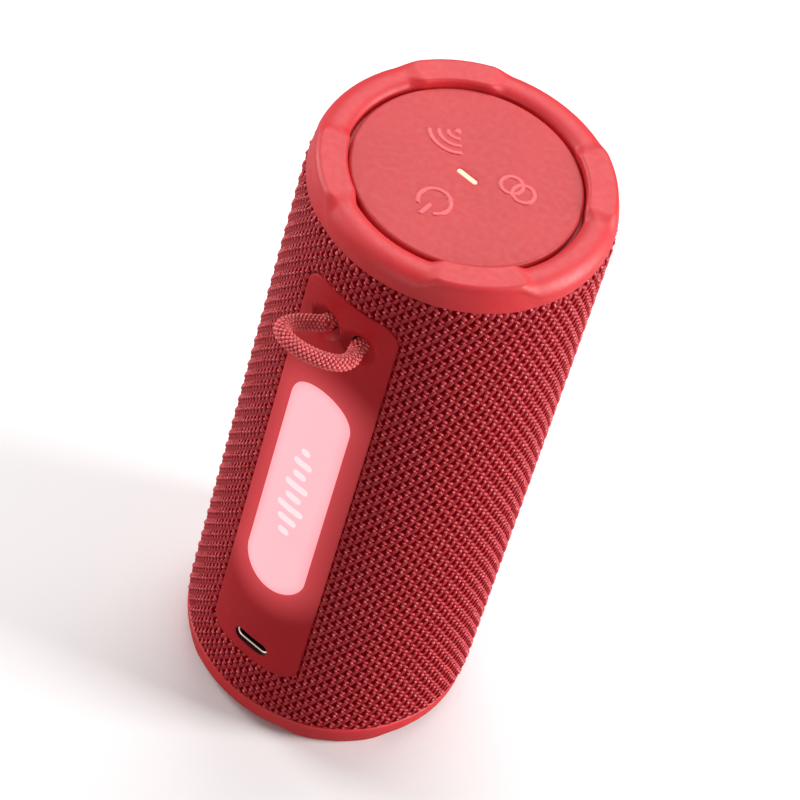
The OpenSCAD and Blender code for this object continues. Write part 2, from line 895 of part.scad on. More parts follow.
enclosure();
top_end_frame();
bottom_end_frame();
top_seal_ring();
bottom_seal_ring();
grille_sleeve();
fabric_sleeve();
top_rim();
bottom_rim();
control_panel();
bottom_panel();
panel_carrier();
power_button();
wireless_button();
link_button();
key_plunger(0);  // power_plunger
key_plunger(1);  // wireless_plunger
key_plunger(2);  // link_plunger
control_board();
control_switches();
status_led();
status_light_guide();
strip_cover();
light_window();
light_board();
light_leds();
usb_socket();
usb_tongue();
usb_seal();
main_board();
board_parts();
board_screws();
battery_cell();
battery_cradle();
driver_basket();
driver_gasket();
driver_surround();
driver_damper();
driver_cone();
dust_cap();
voice_coil();
motor_cup();
motor_magnet();
pole_plate();
driver_screws();
radiator_frames();
radiator_surrounds();
radiator_plate_right();
radiator_plate_left();
front_key_board();
front_key_switches();
volume_up_button();
play_button();
volume_down_button();
front_plunger(-1);  // volume_up_plunger
front_plunger(0);  // play_plunger
front_plunger(1);  // volume_down_plunger
carry_loop();
cord_root();
cord_saddle();
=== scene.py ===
import json
import math

import bmesh
import bpy
import numpy as np
from mathutils import Matrix, Vector


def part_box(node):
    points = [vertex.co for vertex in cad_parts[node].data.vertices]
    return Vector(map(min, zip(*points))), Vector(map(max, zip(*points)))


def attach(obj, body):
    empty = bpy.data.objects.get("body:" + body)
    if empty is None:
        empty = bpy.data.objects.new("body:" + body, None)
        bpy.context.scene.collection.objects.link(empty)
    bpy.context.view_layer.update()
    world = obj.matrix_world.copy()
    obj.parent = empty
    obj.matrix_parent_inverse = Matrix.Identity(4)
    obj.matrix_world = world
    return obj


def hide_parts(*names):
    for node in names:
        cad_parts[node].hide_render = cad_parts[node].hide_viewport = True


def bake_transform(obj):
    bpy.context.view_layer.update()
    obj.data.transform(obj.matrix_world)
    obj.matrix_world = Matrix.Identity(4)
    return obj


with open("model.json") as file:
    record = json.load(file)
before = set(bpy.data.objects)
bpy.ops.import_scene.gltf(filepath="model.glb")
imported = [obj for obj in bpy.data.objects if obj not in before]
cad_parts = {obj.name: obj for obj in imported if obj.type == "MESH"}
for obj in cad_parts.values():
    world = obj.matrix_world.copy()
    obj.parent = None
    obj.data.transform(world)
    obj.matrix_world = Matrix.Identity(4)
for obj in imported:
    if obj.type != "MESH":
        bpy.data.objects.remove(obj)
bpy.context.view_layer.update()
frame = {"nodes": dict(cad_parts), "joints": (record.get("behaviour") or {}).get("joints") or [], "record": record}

# ---- sizes, all in metres

MM = 0.001


def front_size(name):
    """Width and height of a CAD node as seen along Y, and the height of its middle."""
    low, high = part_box(name)
    return high.x - low.x, high.z - low.z, (high.z + low.z) / 2


FABRIC_LOW, FABRIC_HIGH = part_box("fabric_sleeve")
FABRIC_R = FABRIC_HIGH.x
RIM_LOW, RIM_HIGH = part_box("top_rim")
BODY_H = RIM_HIGH.z
RIM_H = BODY_H - RIM_LOW.z
PANEL_R, _, PANEL_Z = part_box("control_panel")[1]
CARRIER_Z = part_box("panel_carrier")[1].z
STRIP_W, STRIP_H, STRIP_Z = front_size("strip_cover")
STRIP_R = -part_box("strip_cover")[0].y
STRIP_CORNER = 5 * MM
WINDOW_W, WINDOW_H, WINDOW_Z = front_size("light_window")
SOCKET_W, SOCKET_H, SOCKET_Z = front_size("usb_socket")
SOCKET_MOUTH, SOCKET_BACK = (corner.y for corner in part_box("usb_socket"))
CORD_R = front_size("cord_root")[1] / 2
CORD_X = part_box("cord_root")[1].x - CORD_R
LOOP_HINGE = next(j for j in frame["joints"] if j["name"] == "loop_swing")["pos_m"]
CORD_Z = LOOP_HINGE[2]

KNIT_COLUMNS = 144
KNIT_REPEATS = 36
KNIT_SKEW = 6  # repeats by which a course drops on its way round the body
COLUMN_W = math.tau * FABRIC_R / KNIT_COLUMNS / MM
REPEAT_H = (FABRIC_HIGH.z - FABRIC_LOW.z) / KNIT_REPEATS / MM
# The stitches of a knitted repeat, in millimetres: centre, half width, half height, lean, how proud it
# stands, how much more its upper end stands out, and its darkest and lightest tone
LONG_STITCH = ((0.13, 1.10), 0.46, 1.16, 0.36, 0.80, 0.15, 0.0, 0.5)
HOOK_STITCH = ((0.08, -0.91), 0.54, 0.47, -0.80, 0.95, 0.10, 0.3, 0.8)
# The dot's light tones are partly a painted highlight on the knot's upper face.
DOT_STITCH = ((-0.12, -1.76), 0.35, 0.32, 0.0, 1.10, 0.0, 0.7, 1.0)
STITCHES = (LONG_STITCH, HOOK_STITCH, DOT_STITCH)
KNIT_WANDER = 0.10  # millimetres by which the stitches' colours stray from their shapes


# ---- material helpers


def srgb(red, green, blue):
    """A colour in 0-255 display values, as the linear values that shaders take."""

    def linear(value):
        value /= 255
        return value / 12.92 if value <= 0.04045 else ((value + 0.055) / 1.055) ** 2.4

    return (linear(red), linear(green), linear(blue), 1.0)


class Shader:
    """A material whose nodes are made one call at a time; each call gives the new node's output."""

    def __init__(self, name):
        self.material = bpy.data.materials.new(name)
        self.material.use_nodes = True
        self.tree = self.material.node_tree
        self.tree.nodes.clear()
        self.place = self.node("ShaderNodeTexCoord").outputs["Object"]

    def node(self, kind, inputs=None, **settings):
        made = self.tree.nodes.new(kind)
        for key, value in settings.items():
            setattr(made, key, value)
        for socket, value in (inputs or {}).items():
            if isinstance(value, bpy.types.NodeSocket):
                self.tree.links.new(value, made.inputs[socket])
            else:
                made.inputs[socket].default_value = value
        return made

    def math(self, operation, a, b=0.0, clamp=False):
        made = self.node("ShaderNodeMath", {0: a, 1: b}, operation=operation, use_clamp=clamp)
        return made.outputs[0]

    def axes(self):
        """X, Y and Z of the shaded point, in metres."""
        return self.node("ShaderNodeSeparateXYZ", {0: self.place}).outputs

    def times(self, a, b):
        return self.math("MULTIPLY", a, b)

    def plus(self, a, b, clamp=False):
        return self.math("ADD", a, b, clamp)

    def minus(self, a, b, clamp=False):
        return self.math("SUBTRACT", a, b, clamp)

    def noise(self, scale, detail=3.0, roughness=0.55, stretch=(1, 1, 1)):
        """Noise with about scale spots to the metre."""
        place = self.node("ShaderNodeVectorMath", {0: self.place, 1: stretch}, operation="MULTIPLY")
        settings = {"Vector": place.outputs[0], "Scale": scale, "Detail": detail, "Roughness": roughness}
        return self.node("ShaderNodeTexNoise", settings).outputs["Fac"]

    def cells(self, scale):
        return self.node("ShaderNodeTexVoronoi", {"Vector": self.place, "Scale": scale}).outputs["Distance"]

    def attribute(self, name):
        return self.node("ShaderNodeAttribute", attribute_name=name).outputs["Fac"]

    def ramp(self, value, stops):
        made = self.node("ShaderNodeValToRGB", {"Fac": value})
        elements = made.color_ramp.elements
        while len(elements) < len(stops):
            elements.new(1.0)
        for element, (position, colour) in zip(elements, stops, strict=True):
            element.position = position
            element.color = colour
        return made.outputs["Color"]

    def span(self, value, low, high, out_low=0.0, out_high=1.0):
        settings = {"Value": value, "From Min": low, "From Max": high, "To Min": out_low, "To Max": out_high}
        return self.node("ShaderNodeMapRange", settings).outputs["Result"]

    def vary(self, noise, low, high):
        """Spreads the middle of a noise, where nearly all of it lies, over a range."""
        return self.span(noise, 0.3, 0.7, low, high)

    def mix(self, amount, first, second, blend="MIX"):
        colours = {0: amount, 6: first, 7: second}
        return self.node("ShaderNodeMix", colours, data_type="RGBA", blend_type=blend).outputs[2]

    def bump(self, height, strength, distance, base=None):
        settings = {"Height": height, "Strength": strength, "Distance": distance}
        if base is not None:
            settings["Normal"] = base
        return self.node("ShaderNodeBump", settings).outputs["Normal"]

    def finish(self, **inputs):
        """Ends the material with a surface; its inputs are named with _ for each space."""
        surface = self.node("ShaderNodeBsdfPrincipled", {k.replace("_", " "): v for k, v in inputs.items()})
        self.node("ShaderNodeOutputMaterial", {"Surface": surface.outputs[0]})
        return self.material


def grey(value):
    return (value, value, value, 1.0)


# ---- materials

GLOW_REACH = 9 * MM  # how far the window's light spreads in the strip
THREAD_PITCH = 0.5 * MM
WIRE_PITCH = 0.2 * MM


def moulded_rubber(name, colour, shade, roughness=0.5):
    """Soft-touch rubber: a fine moulded grain, slightly mottled."""
    s = Shader(name)
    mottle = s.span(s.noise(90, 4), 0.35, 0.65)
    grain = s.noise(5200, 2)
    colour = s.mix(mottle, shade, colour)
    colour = s.mix(s.vary(grain, 0.0, 0.12), colour, grey(0.9), "SOFT_LIGHT")
    rough = s.vary(s.noise(700, 3), roughness - 0.06, roughness + 0.06)
    normal = s.bump(grain, 0.16, 0.05 * MM, s.bump(s.noise(260, 2), 0.08, 0.1 * MM))
    return s.finish(
        Base_Color=colour, Roughness=rough, Normal=normal, Specular_IOR_Level=0.6,
        Subsurface_Weight=0.05, Subsurface_Radius=(1.0, 0.25, 0.2), Subsurface_Scale=1.2 * MM,
    )


def knit_cell(s):
    """Place within a knitted repeat, in millimetres across and along, and a random value for the repeat."""
    x, y, z = s.axes()
    angle = s.math("ARCTAN2", y, x)
    column = s.times(s.plus(s.math("DIVIDE", angle, math.tau), 0.25), KNIT_COLUMNS)
    which = s.math("FLOOR", column)
    shift = s.times(s.math("FLOORED_MODULO", which, 2.0), 0.5)
    climb = s.span(z, FABRIC_LOW.z, FABRIC_HIGH.z, 0.0, KNIT_REPEATS)
    skew = s.times(column, KNIT_SKEW / KNIT_COLUMNS)
    repeat = s.plus(s.plus(climb, skew), shift)
    across = s.times(s.minus(s.math("FRACT", column), 0.5), COLUMN_W)
    along = s.times(s.minus(s.math("FRACT", repeat), 0.5), REPEAT_H)
    across = s.plus(across, s.vary(s.noise(760, 1), -KNIT_WANDER, KNIT_WANDER))
    along = s.plus(along, s.vary(s.noise(610, 1), -1.3 * KNIT_WANDER, 1.3 * KNIT_WANDER))
    cell = s.node("ShaderNodeCombineXYZ", {0: which, 1: s.math("FLOOR", repeat)}).outputs[0]
    return across, along, s.node("ShaderNodeTexWhiteNoise", {"Vector": cell}).outputs["Value"]


def knit_spot(s, across, along, stitch):
    """Distance from the middle of one of the repeat's stitches: 0 in the middle and 1 on its outline."""
    (cx, cy), half_w, half_h, lean = stitch[:4]
    dy = s.minus(along, cy)
    dx = s.minus(s.minus(across, cx), s.times(dy, lean))
    squares = [s.math("POWER", s.math("DIVIDE", d, half), 2.0) for d, half in ((dx, half_w), (dy, half_h))]
    return s.math("SQRT", s.plus(*squares))


def knit_material():
    """Melange yarn: matt red stitches and paler hooks; the bright points are painted glints, the thin pale
    outlines of the long stitches a painted highlight, and the dark, saturated red gaps painted shade.
    """
    s = Shader("knit")
    across, along, chance = knit_cell(s)
    long_stitch, hook, dot = (knit_spot(s, across, along, stitch) for stitch in STITCHES)
    fibre = s.noise(3800, 3, 0.7, (1, 1, 0.35))
    yarn = s.ramp(s.attribute("tone"), [
        (0.0, srgb(148, 22, 34)), (0.5, srgb(178, 32, 44)),
        (0.8, srgb(206, 46, 56)), (1.0, srgb(230, 72, 80)),
    ])
    yarn = s.mix(s.vary(fibre, 0.0, 0.4), yarn, srgb(212, 54, 64))
    nearest = s.math("MINIMUM", s.math("MINIMUM", long_stitch, hook), dot)
    # painted shade: the gaps between the stitches get a dark red, and the same mask turns their reflection and
    # sheen down below
    cover = s.span(nearest, 0.85, 1.45, 1.0, 0.0)
    yarn = s.mix(cover, srgb(106, 0, 8), yarn)
    # painted highlight: a thin paler line along each long stitch's outline, where its edge would catch the light
    from_outline = s.math("ABSOLUTE", s.minus(long_stitch, 0.8))
    outline = s.times(s.span(from_outline, 0.0, 0.22, 0.35, 0.0), s.span(fibre, 0.4, 0.6))
    yarn = s.mix(outline, yarn, srgb(238, 94, 100))
    yarn = s.mix(s.span(hook, 0.2, 1.0, 0.55, 0.0), yarn, srgb(234, 82, 90))
    # painted glint: a bright pink spot on each dot stitch, stronger or weaker at random
    point = s.times(s.span(dot, 0.2, 1.0, 1.0, 0.0), s.span(chance, 0.0, 0.7, 0.35, 0.9))
    yarn = s.mix(point, yarn, srgb(255, 160, 164))
    height = s.minus(1.0, s.times(nearest, nearest), True)
    normal = s.bump(fibre, 0.6, 0.14 * MM, s.bump(height, 0.7, 0.22 * MM))
    return s.finish(
        Base_Color=yarn, Roughness=0.5, Normal=normal, Specular_IOR_Level=s.times(cover, 0.5),
        Sheen_Weight=s.times(cover, 0.14), Sheen_Roughness=0.4, Sheen_Tint=srgb(255, 104, 110),
    )


def cord_material():
    """Braided cord: each strand has its own tone and fine filaments, a painted highlight where it runs over and
    painted shade where it runs under.
    """
    s = Shader("braid")
    yarn = s.ramp(s.attribute("tone"), [
        (0.0, srgb(186, 30, 40)), (0.5, srgb(216, 50, 58)), (1.0, srgb(244, 88, 94)),
    ])
    fibre = s.noise(5000, 3, 0.7)
    yarn = s.mix(s.span(fibre, 0.35, 0.7, 0.0, 0.4), yarn, srgb(255, 140, 144))
    raised = s.attribute("raised")
    # painted shade where a strand runs under, then a painted highlight where it runs over
    yarn = s.mix(s.span(raised, 0.1, 0.75), srgb(120, 2, 10), yarn)
    yarn = s.mix(s.span(raised, 0.8, 1.0, 0.0, 0.75), yarn, srgb(255, 150, 150))
    filaments = s.math("SINE", s.times(s.attribute("around"), math.tau * 3.0))
    normal = s.bump(filaments, 0.35, 0.05 * MM, s.bump(fibre, 0.4, 0.06 * MM))
    return s.finish(
        Base_Color=yarn, Roughness=0.5, Normal=normal, Specular_IOR_Level=0.4,
        Sheen_Weight=0.15, Sheen_Roughness=0.35, Sheen_Tint=srgb(255, 150, 150),
    )


def capsule_distance(s, along, across, length, width):
    """Distance of the shaded point outside a capsule, from its place along and across the capsule."""
    past = s.math("MAXIMUM", s.minus(s.math("ABSOLUTE", along), (length - width) / 2), 0.0)
    squares = s.plus(s.times(across, across), s.times(past, past))
    return s.minus(s.math("SQRT", squares), width / 2)


def window_distance(s):
    x, _, z = s.axes()
    return capsule_distance(s, s.minus(z, WINDOW_Z), x, WINDOW_H, WINDOW_W)


def socket_distance(s):
    x, _, z = s.axes()
    return capsule_distance(s, x, s.minus(z, SOCKET_Z), SOCKET_W, SOCKET_H)


def strip_material():
    """Deep red silicone that lets the window's light through round it, with painted shade on the walls of the
    socket's hole.
    """
    s = Shader("strip")
    glow = s.math("POWER", s.span(window_distance(s), 0.0, GLOW_REACH, 1.0, 0.0), 1.2, clamp=True)
    base = s.mix(s.span(s.noise(70, 3), 0.35, 0.65), srgb(174, 27, 35), srgb(181, 29, 37))
    # painted shade: near-black on the walls of the socket's hole and their rounded edge
    hole = s.span(socket_distance(s), 0.12 * MM, 0.34 * MM, 1.0, 0.0)
    return s.finish(
        Base_Color=s.mix(hole, base, srgb(46, 6, 10)), Roughness=s.vary(s.noise(600, 3), 0.46, 0.56),
        Normal=s.bump(s.noise(4800, 2), 0.14, 0.05 * MM), Specular_IOR_Level=0.2,
        Sheen_Weight=0.05, Sheen_Roughness=0.5, Sheen_Tint=srgb(255, 140, 140),
        Emission_Color=srgb(255, 108, 114), Emission_Strength=s.times(glow, 0.34),
    )


def lit_material(name, edge, middle, strength, softness):
    """Frosted diffuser lit from behind, a little pinker towards its edge and between LEDs."""
    s = Shader(name)
    depth = s.span(window_distance(s), -softness, 0.0, 1.0, 0.0)  # 1 well inside the window, 0 at its edge
    cloud = s.vary(s.noise(38, 2), -0.12, 0.12)
    colour = s.mix(s.plus(s.math("POWER", depth, 0.6), cloud, clamp=True), edge, middle)
    normal = s.bump(s.noise(3000, 2), 0.1, 0.04 * MM)
    return s.finish(
        Base_Color=srgb(120, 70, 76), Roughness=0.5, Normal=normal, Specular_IOR_Level=0.3,
        Emission_Color=colour, Emission_Strength=strength,
    )


def moulded_plastic(name, colour, roughness=0.5):
    s = Shader(name)
    tone = s.mix(s.span(s.noise(160, 3), 0.35, 0.65, 0.0, 0.25), colour, grey(0.5), "SOFT_LIGHT")
    rough = s.vary(s.noise(900, 3), roughness - 0.07, roughness + 0.07)
    return s.finish(Base_Color=tone, Roughness=rough, Normal=s.bump(s.noise(4200, 2), 0.15, 0.05 * MM))


def brushed_metal(name, colour, roughness=0.3):
    s = Shader(name)
    scratches = s.noise(4500, 3, 0.6, (1, 1, 0.05))
    tone = s.mix(s.vary(scratches, 0.0, 0.4), colour, grey(0.75), "SOFT_LIGHT")
    rough = s.vary(scratches, roughness - 0.08, roughness + 0.12)
    return s.finish(Base_Color=tone, Metallic=1.0, Roughness=rough, Normal=s.bump(scratches, 0.12, 0.03 * MM))


def socket_shell(name):
    """Drawn metal with a painted glint on its lip, which is near white and glows, and painted shade further in."""
    s = Shader(name)
    # painted glint: the lip is near white and glows; painted shade: the metal behind it is dark
    lip = s.span(s.axes()["Y"], SOCKET_MOUTH + 0.1 * MM, SOCKET_MOUTH + 0.3 * MM, 1.0, 0.0)
    tone = s.mix(lip, srgb(40, 26, 24), srgb(255, 240, 230))
    rough = s.vary(s.noise(900, 3), 0.26, 0.34)
    return s.finish(
        Base_Color=tone, Metallic=1.0, Roughness=rough, Emission_Color=srgb(255, 226, 214),
        Emission_Strength=s.times(lip, 0.45),
    )


def circuit_board(name):
    """Solder mask with faint copper tracks under it."""
    s = Shader(name)
    tracks = s.math("GREATER_THAN", s.cells(420), 0.34)
    mask = s.mix(s.times(tracks, 0.55), srgb(14, 70, 40), srgb(30, 104, 60))
    return s.finish(Base_Color=mask, Roughness=0.32, Normal=s.bump(tracks, 0.2, 0.03 * MM), Coat_Weight=0.3)


def woven_cloth(name, colour):
    s = Shader(name)
    x, _, z = s.axes()
    across, along = (s.math("SINE", s.times(value, math.tau / THREAD_PITCH)) for value in (x, z))
    weave = s.times(across, along)
    tone = s.mix(s.span(weave, -1.0, 1.0, 0.0, 0.35), colour, grey(0.2))
    return s.finish(Base_Color=tone, Roughness=0.8, Normal=s.bump(weave, 0.4, 0.08 * MM))


def wound_wire(name, colour):
    s = Shader(name)
    turns = s.math("SINE", s.times(s.axes()["Y"], math.tau / WIRE_PITCH))
    tone = s.mix(s.span(turns, -1.0, 1.0, 0.0, 0.5), colour, srgb(70, 24, 10))
    return s.finish(Base_Color=tone, Metallic=0.9, Roughness=0.35, Normal=s.bump(turns, 0.6, 0.08 * MM))


materials = {
    "coral_rubber": moulded_rubber("rim_rubber", srgb(206, 42, 48), srgb(199, 39, 45)),
    "knit": knit_material(),
    "braided_cord": cord_material(),
    "strip_red": strip_material(),
    "lit_diffuser": lit_material("window_light", srgb(255, 168, 176), srgb(255, 192, 200), 0.95, 2.5 * MM),
    "black_plastic": moulded_plastic("black_plastic", grey(0.012)),
    "black_rubber": moulded_plastic("black_rubber", grey(0.008), 0.7),
    "steel": brushed_metal("steel", grey(0.55)),
    "board": circuit_board("solder_mask"),
    "cell_wrap": moulded_plastic("cell_wrap", srgb(40, 96, 170), 0.3),
    "paper_cone": moulded_plastic("coated_paper", grey(0.02), 0.8),
    "damper_cloth": woven_cloth("damper_cloth", srgb(214, 160, 80)),
    "copper_wire": wound_wire("copper_wire", srgb(196, 110, 60)),
}
panel_rubber = moulded_rubber("panel_rubber", srgb(194, 44, 48), srgb(189, 42, 46), 0.55)
icon_rubber = moulded_rubber("icon_rubber", srgb(222, 84, 90), srgb(216, 78, 84), 0.42)
status_glow = lit_material("status_light", srgb(255, 226, 196), srgb(255, 238, 214), 1.1, 5 * MM)
motif_glow = lit_material("motif_light", srgb(255, 214, 220), srgb(255, 226, 230), 1.0, 5 * MM)
socket_metal = socket_shell("socket_metal")


# ---- mesh helpers


def new_object(name, data):
    made = bpy.data.objects.new(name, data)
    bpy.context.scene.collection.objects.link(made)
    return made


def smooth_piece(name, mesh, material):
    mesh.materials.append(material)
    mesh.shade_smooth()
    return new_object(name, mesh)


def from_bmesh(name, shape, material):
    bmesh.ops.recalc_face_normals(shape, faces=shape.faces)
    mesh = bpy.data.meshes.new(name)
    shape.to_mesh(mesh)
    shape.free()
    return smooth_piece(name, mesh, material)


def sharpen(piece, degrees):
    """Splits the shading at edges sharper than the angle."""
    piece.data.set_sharp_from_angle(angle=math.radians(degrees))


def store_values(mesh, **values):
    """Stores values that materials read, each one number for all points or one for each."""
    for name, value in values.items():
        data = np.array(np.broadcast_to(value, len(mesh.vertices)), np.float32)
        mesh.attributes.new(name, "FLOAT", "POINT").data.foreach_set("value", data)


def join(piece, node=None, body="body"):
    """Lets a piece ride on a body, and stand in for a CAD node if one is given."""
    if node:
        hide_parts(node)
    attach(piece, body)


def smoothstep(x):
    x = np.clip(x, 0, 1)
    return x * x * (3 - 2 * x)


def lattice_faces(rows, columns):
    """Quads of a lattice of points numbered row by row, where each row is a closed ring."""
    i, j = (grid.ravel() for grid in np.meshgrid(np.arange(rows - 1), np.arange(columns), indexing="ij"))
    this, after = i * columns, (i + 1) * columns
    j2 = (j + 1) % columns
    return np.stack([this + j, this + j2, after + j2, after + j], 1)


def ring_stack(name, loops, material, closed_ends=(False, False)):
    """A surface through loops of points that all have the same count."""
    count = len(loops[0])
    faces = lattice_faces(len(loops), count).tolist()
    if closed_ends[0]:
        faces.append(list(reversed(range(count))))
    if closed_ends[1]:
        faces.append([(len(loops) - 1) * count + k for k in range(count)])
    mesh = bpy.data.meshes.new(name)
    mesh.from_pydata([tuple(p) for loop in loops for p in loop], [], faces)
    mesh.validate()
    shape = bmesh.new()
    shape.from_mesh(mesh)
    bpy.data.meshes.remove(mesh)
    return from_bmesh(name, shape, material)


# ---- flat outlines and plates

FIRST_CUT = 0.37  # share of a cell before a plate's first cut, so that no cut runs along an outline's point


def turn(radius, start, stop, centre=(0, 0), steps=40):
    """Points along an arc, between angles in degrees; radius is one number, or one for each axis."""
    rx, ry = np.broadcast_to(radius, 2)
    angles = np.radians(np.linspace(start, stop, steps))
    return [(centre[0] + rx * math.cos(a), centre[1] + ry * math.sin(a)) for a in angles]


def circle_outline(radius, centre=(0, 0), count=96):
    angles = np.arange(count) * math.tau / count
    return np.stack([centre[0] + radius * np.cos(angles), centre[1] + radius * np.sin(angles)], 1)


def rounded_outline(width, height, radius, centre=(0, 0), per_corner=14):
    """A rectangle with round corners, anticlockwise; radius is at most half the shorter side."""
    radius = max(radius, 1e-6)
    points = []
    for k, (sx, sy) in enumerate(((1, 1), (-1, 1), (-1, -1), (1, -1))):
        corner = (centre[0] + sx * (width / 2 - radius), centre[1] + sy * (height / 2 - radius))
        points += turn(radius, 90 * k, 90 * (k + 1), corner, per_corner)
    points = np.array(points)
    gaps = np.linalg.norm(points - np.roll(points, 1, 0), axis=1)
    return points[gaps > 1e-4 * max(width, height)]


def round_edge(radius, steps=5):
    """(distance from the outline, depth below the face) along a rounded edge, from its wall to its face."""
    angles = np.linspace(0, math.pi / 2, steps)
    return [(radius * (1 - math.cos(a)), radius * (1 - math.sin(a))) for a in angles]


def edge_walls(shape, outline, profile, thickness):
    """The wall and the rounded edge along one outline of a plate; gives the edges that its face ends on."""
    last = None
    for inset, depth in [(profile[0][0], thickness), *profile]:
        loop = [shape.verts.new((x, y, -depth)) for x, y in outline(inset)]
        if last:
            for k in range(len(loop)):
                m = (k + 1) % len(loop)
                shape.faces.new((last[k], last[m], loop[m], loop[k]))
        last = loop
    return [shape.edges.get((last[k], last[(k + 1) % len(last)])) for k in range(len(last))]


def cut_in_cells(shape, cell):
    """Cuts a flat plate into cells of this width and height, so that it can bend."""
    for axis, normal in enumerate(((1, 0, 0), (0, 1, 0))):
        low = min(v.co[axis] for v in shape.verts)
        high = max(v.co[axis] for v in shape.verts)
        for at in np.arange(low + cell[axis] * FIRST_CUT, high, cell[axis]):
            geometry = shape.verts[:] + shape.edges[:] + shape.faces[:]
            spot = [at * part for part in normal]
            bmesh.ops.bisect_plane(shape, geom=geometry, plane_co=spot, plane_no=normal, dist=1e-7)


def plate(name, rims, thickness, place, material, cell=None):
    """A plate with rounded edges. rims is a list of (outline function of an inset, edge profile);
    the first is the outside, the others are holes. The inset is the distance into the plate's material.
    place(x, y, depth) turns flat points into the object's frame."""
    shape = bmesh.new()
    face_edges = []
    for outline, profile in rims:
        face_edges += edge_walls(shape, outline, profile, thickness)
    bmesh.ops.triangle_fill(shape, use_beauty=True, edges=face_edges, normal=(0, 0, 1))
    if cell:
        cut_in_cells(shape, cell)
    for v in shape.verts:
        v.co = Vector(place(v.co.x, v.co.y, -v.co.z))
    return from_bmesh(name, shape, material)


def on_strip_side(radius):
    """Places flat points on the light strip's side of the round body."""

    def place(x, z, depth):
        angle = math.asin(x / radius)
        r = radius - depth
        return (r * math.sin(angle), -r * math.cos(angle), z)

    return place


def on_top(z):
    """Places flat points on a level face that looks up."""
    return lambda x, y, depth: (x, y, z - depth)


# ---- rims

RIM_STATIONS = 480
PAD_HALF = math.radians(19.2)
# Half the width of the slope at a pad's end: on the outer wall, on the top and on the inner edge
SHOULDER_WALL = math.radians(6.0)
SHOULDER_TOP = math.radians(3.0)
SHOULDER_INNER = math.radians(4.2)


def rim_section(out, wall_top, wall_in, crown_out, crown_in, crest, inner, inner_z):
    """(radius, height above the rim's base) up the outside, over and inwards, in millimetres, and the
    width of the pad's shoulder at each point. The wall leans in by wall_in on its way up to wall_top."""
    seat, foot = FABRIC_R / MM - 4.6, 0.55  # radius at which the rim sits on the body, and its foot's round
    flange, flange_z = PANEL_R / MM + 0.1, 2.95  # the ledge round the panel
    under = [(seat, foot / 2), (out - 1.2, 0.05), *turn((0.5, 0.5), -90, 0, (out - 0.5, foot), 5)]
    climb = np.linspace(0, 1, 9)[1:]
    wall = [(out - wall_in * share**1.6, foot + (wall_top - foot) * share) for share in climb]
    edge = turn((out - wall_in - crown_out, crest - wall_top), 0, 90, (crown_out, wall_top), 16)[1:]
    crown = [(r, crest) for r in np.linspace(crown_out, crown_in, 8)[1:]]
    roll = turn((crown_in - inner, crest - inner_z), 90, 180, (crown_in, inner_z), 14)[1:]
    lip = [(inner, flange_z + 0.2), (inner - 0.2, flange_z), (flange, flange_z), (flange, flange_z - 0.1)]
    lip.append((seat, flange_z - 0.1))
    widths = np.concatenate([
        np.full(len(under) + len(wall), SHOULDER_WALL),
        np.linspace(SHOULDER_WALL, SHOULDER_TOP, len(edge)),
        np.linspace(SHOULDER_TOP, SHOULDER_INNER, len(crown)),
        np.full(len(roll) + len(lip), SHOULDER_INNER),
    ])
    return np.array(under + wall + edge + crown + roll + lip), widths


def pad_share(angle, slope):
    """1 on a pad, 0 between pads, with a soft shoulder."""
    centre = np.round((angle - math.pi / 4) / (math.pi / 2)) * (math.pi / 2) + math.pi / 4
    return 1 - smoothstep((np.abs(angle - centre) - PAD_HALF + slope) / (2 * slope))


def rim(name, node, top):
    out, inner, height = FABRIC_R / MM - 0.5, PANEL_R / MM, RIM_H / MM
    valley, slopes = rim_section(
        out, wall_top=2.6, wall_in=0.0, crown_out=29.0, crown_in=28.8,
        crest=height - 0.6, inner=inner + 0.9, inner_z=4.2,
    )
    pad, _ = rim_section(
        out + 0.2, wall_top=height - 1.2, wall_in=1.1, crown_out=30.9, crown_in=26.3,
        crest=height, inner=inner + 0.4, inner_z=height - 0.9,
    )
    angles = np.arange(RIM_STATIONS) * math.tau / RIM_STATIONS
    share = pad_share(angles[:, None], slopes[None, :])[..., None]
    section = (valley * (1 - share) + pad * share) * MM
    radius, climb = section[..., 0], section[..., 1]
    z = BODY_H - RIM_H + climb if top else RIM_H - climb
    points = np.stack([radius * np.cos(angles)[:, None], radius * np.sin(angles)[:, None], z], -1)
    loops = np.swapaxes(points, 0, 1)
    made = ring_stack(name, np.concatenate([loops, loops[:1]]), materials["coral_rubber"])
    sharpen(made, 60)
    join(made, node)


# ---- fabric

POINTS_PER_COLUMN = 6
POINTS_PER_REPEAT = 14
KNIT_RELIEF = 0.36 * MM
RIDGE_RELIEF = 0.24 * MM
RIDGE_START = 0.1  # brings the slanting crests over the brightest stitches, as a share of a repeat
KNIT_BED = 0.42 * MM  # how far the gaps between the stitches lie below the sleeve
HEM_WIDTH = 1.3 * MM
HEM_DROP = 0.45 * MM  # how far the fabric dips along its edges
FABRIC_TUCK = 1.0 * MM  # how far it turns in there
FABRIC_CELL = math.tau * FABRIC_R / (KNIT_COLUMNS * POINTS_PER_COLUMN)
STRIP_GAP = 0.12 * MM
FRONT_KEYS = ("volume_up", "play", "volume_down")
KEY_CLEARANCE = 0.25 * MM


def key_circle(name):
    """(x, z, radius) of the fabric's opening for a front key."""
    low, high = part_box(name + "_button")
    return (low.x + high.x) / 2, (low.z + high.z) / 2, (high.z - low.z) / 2 + KEY_CLEARANCE


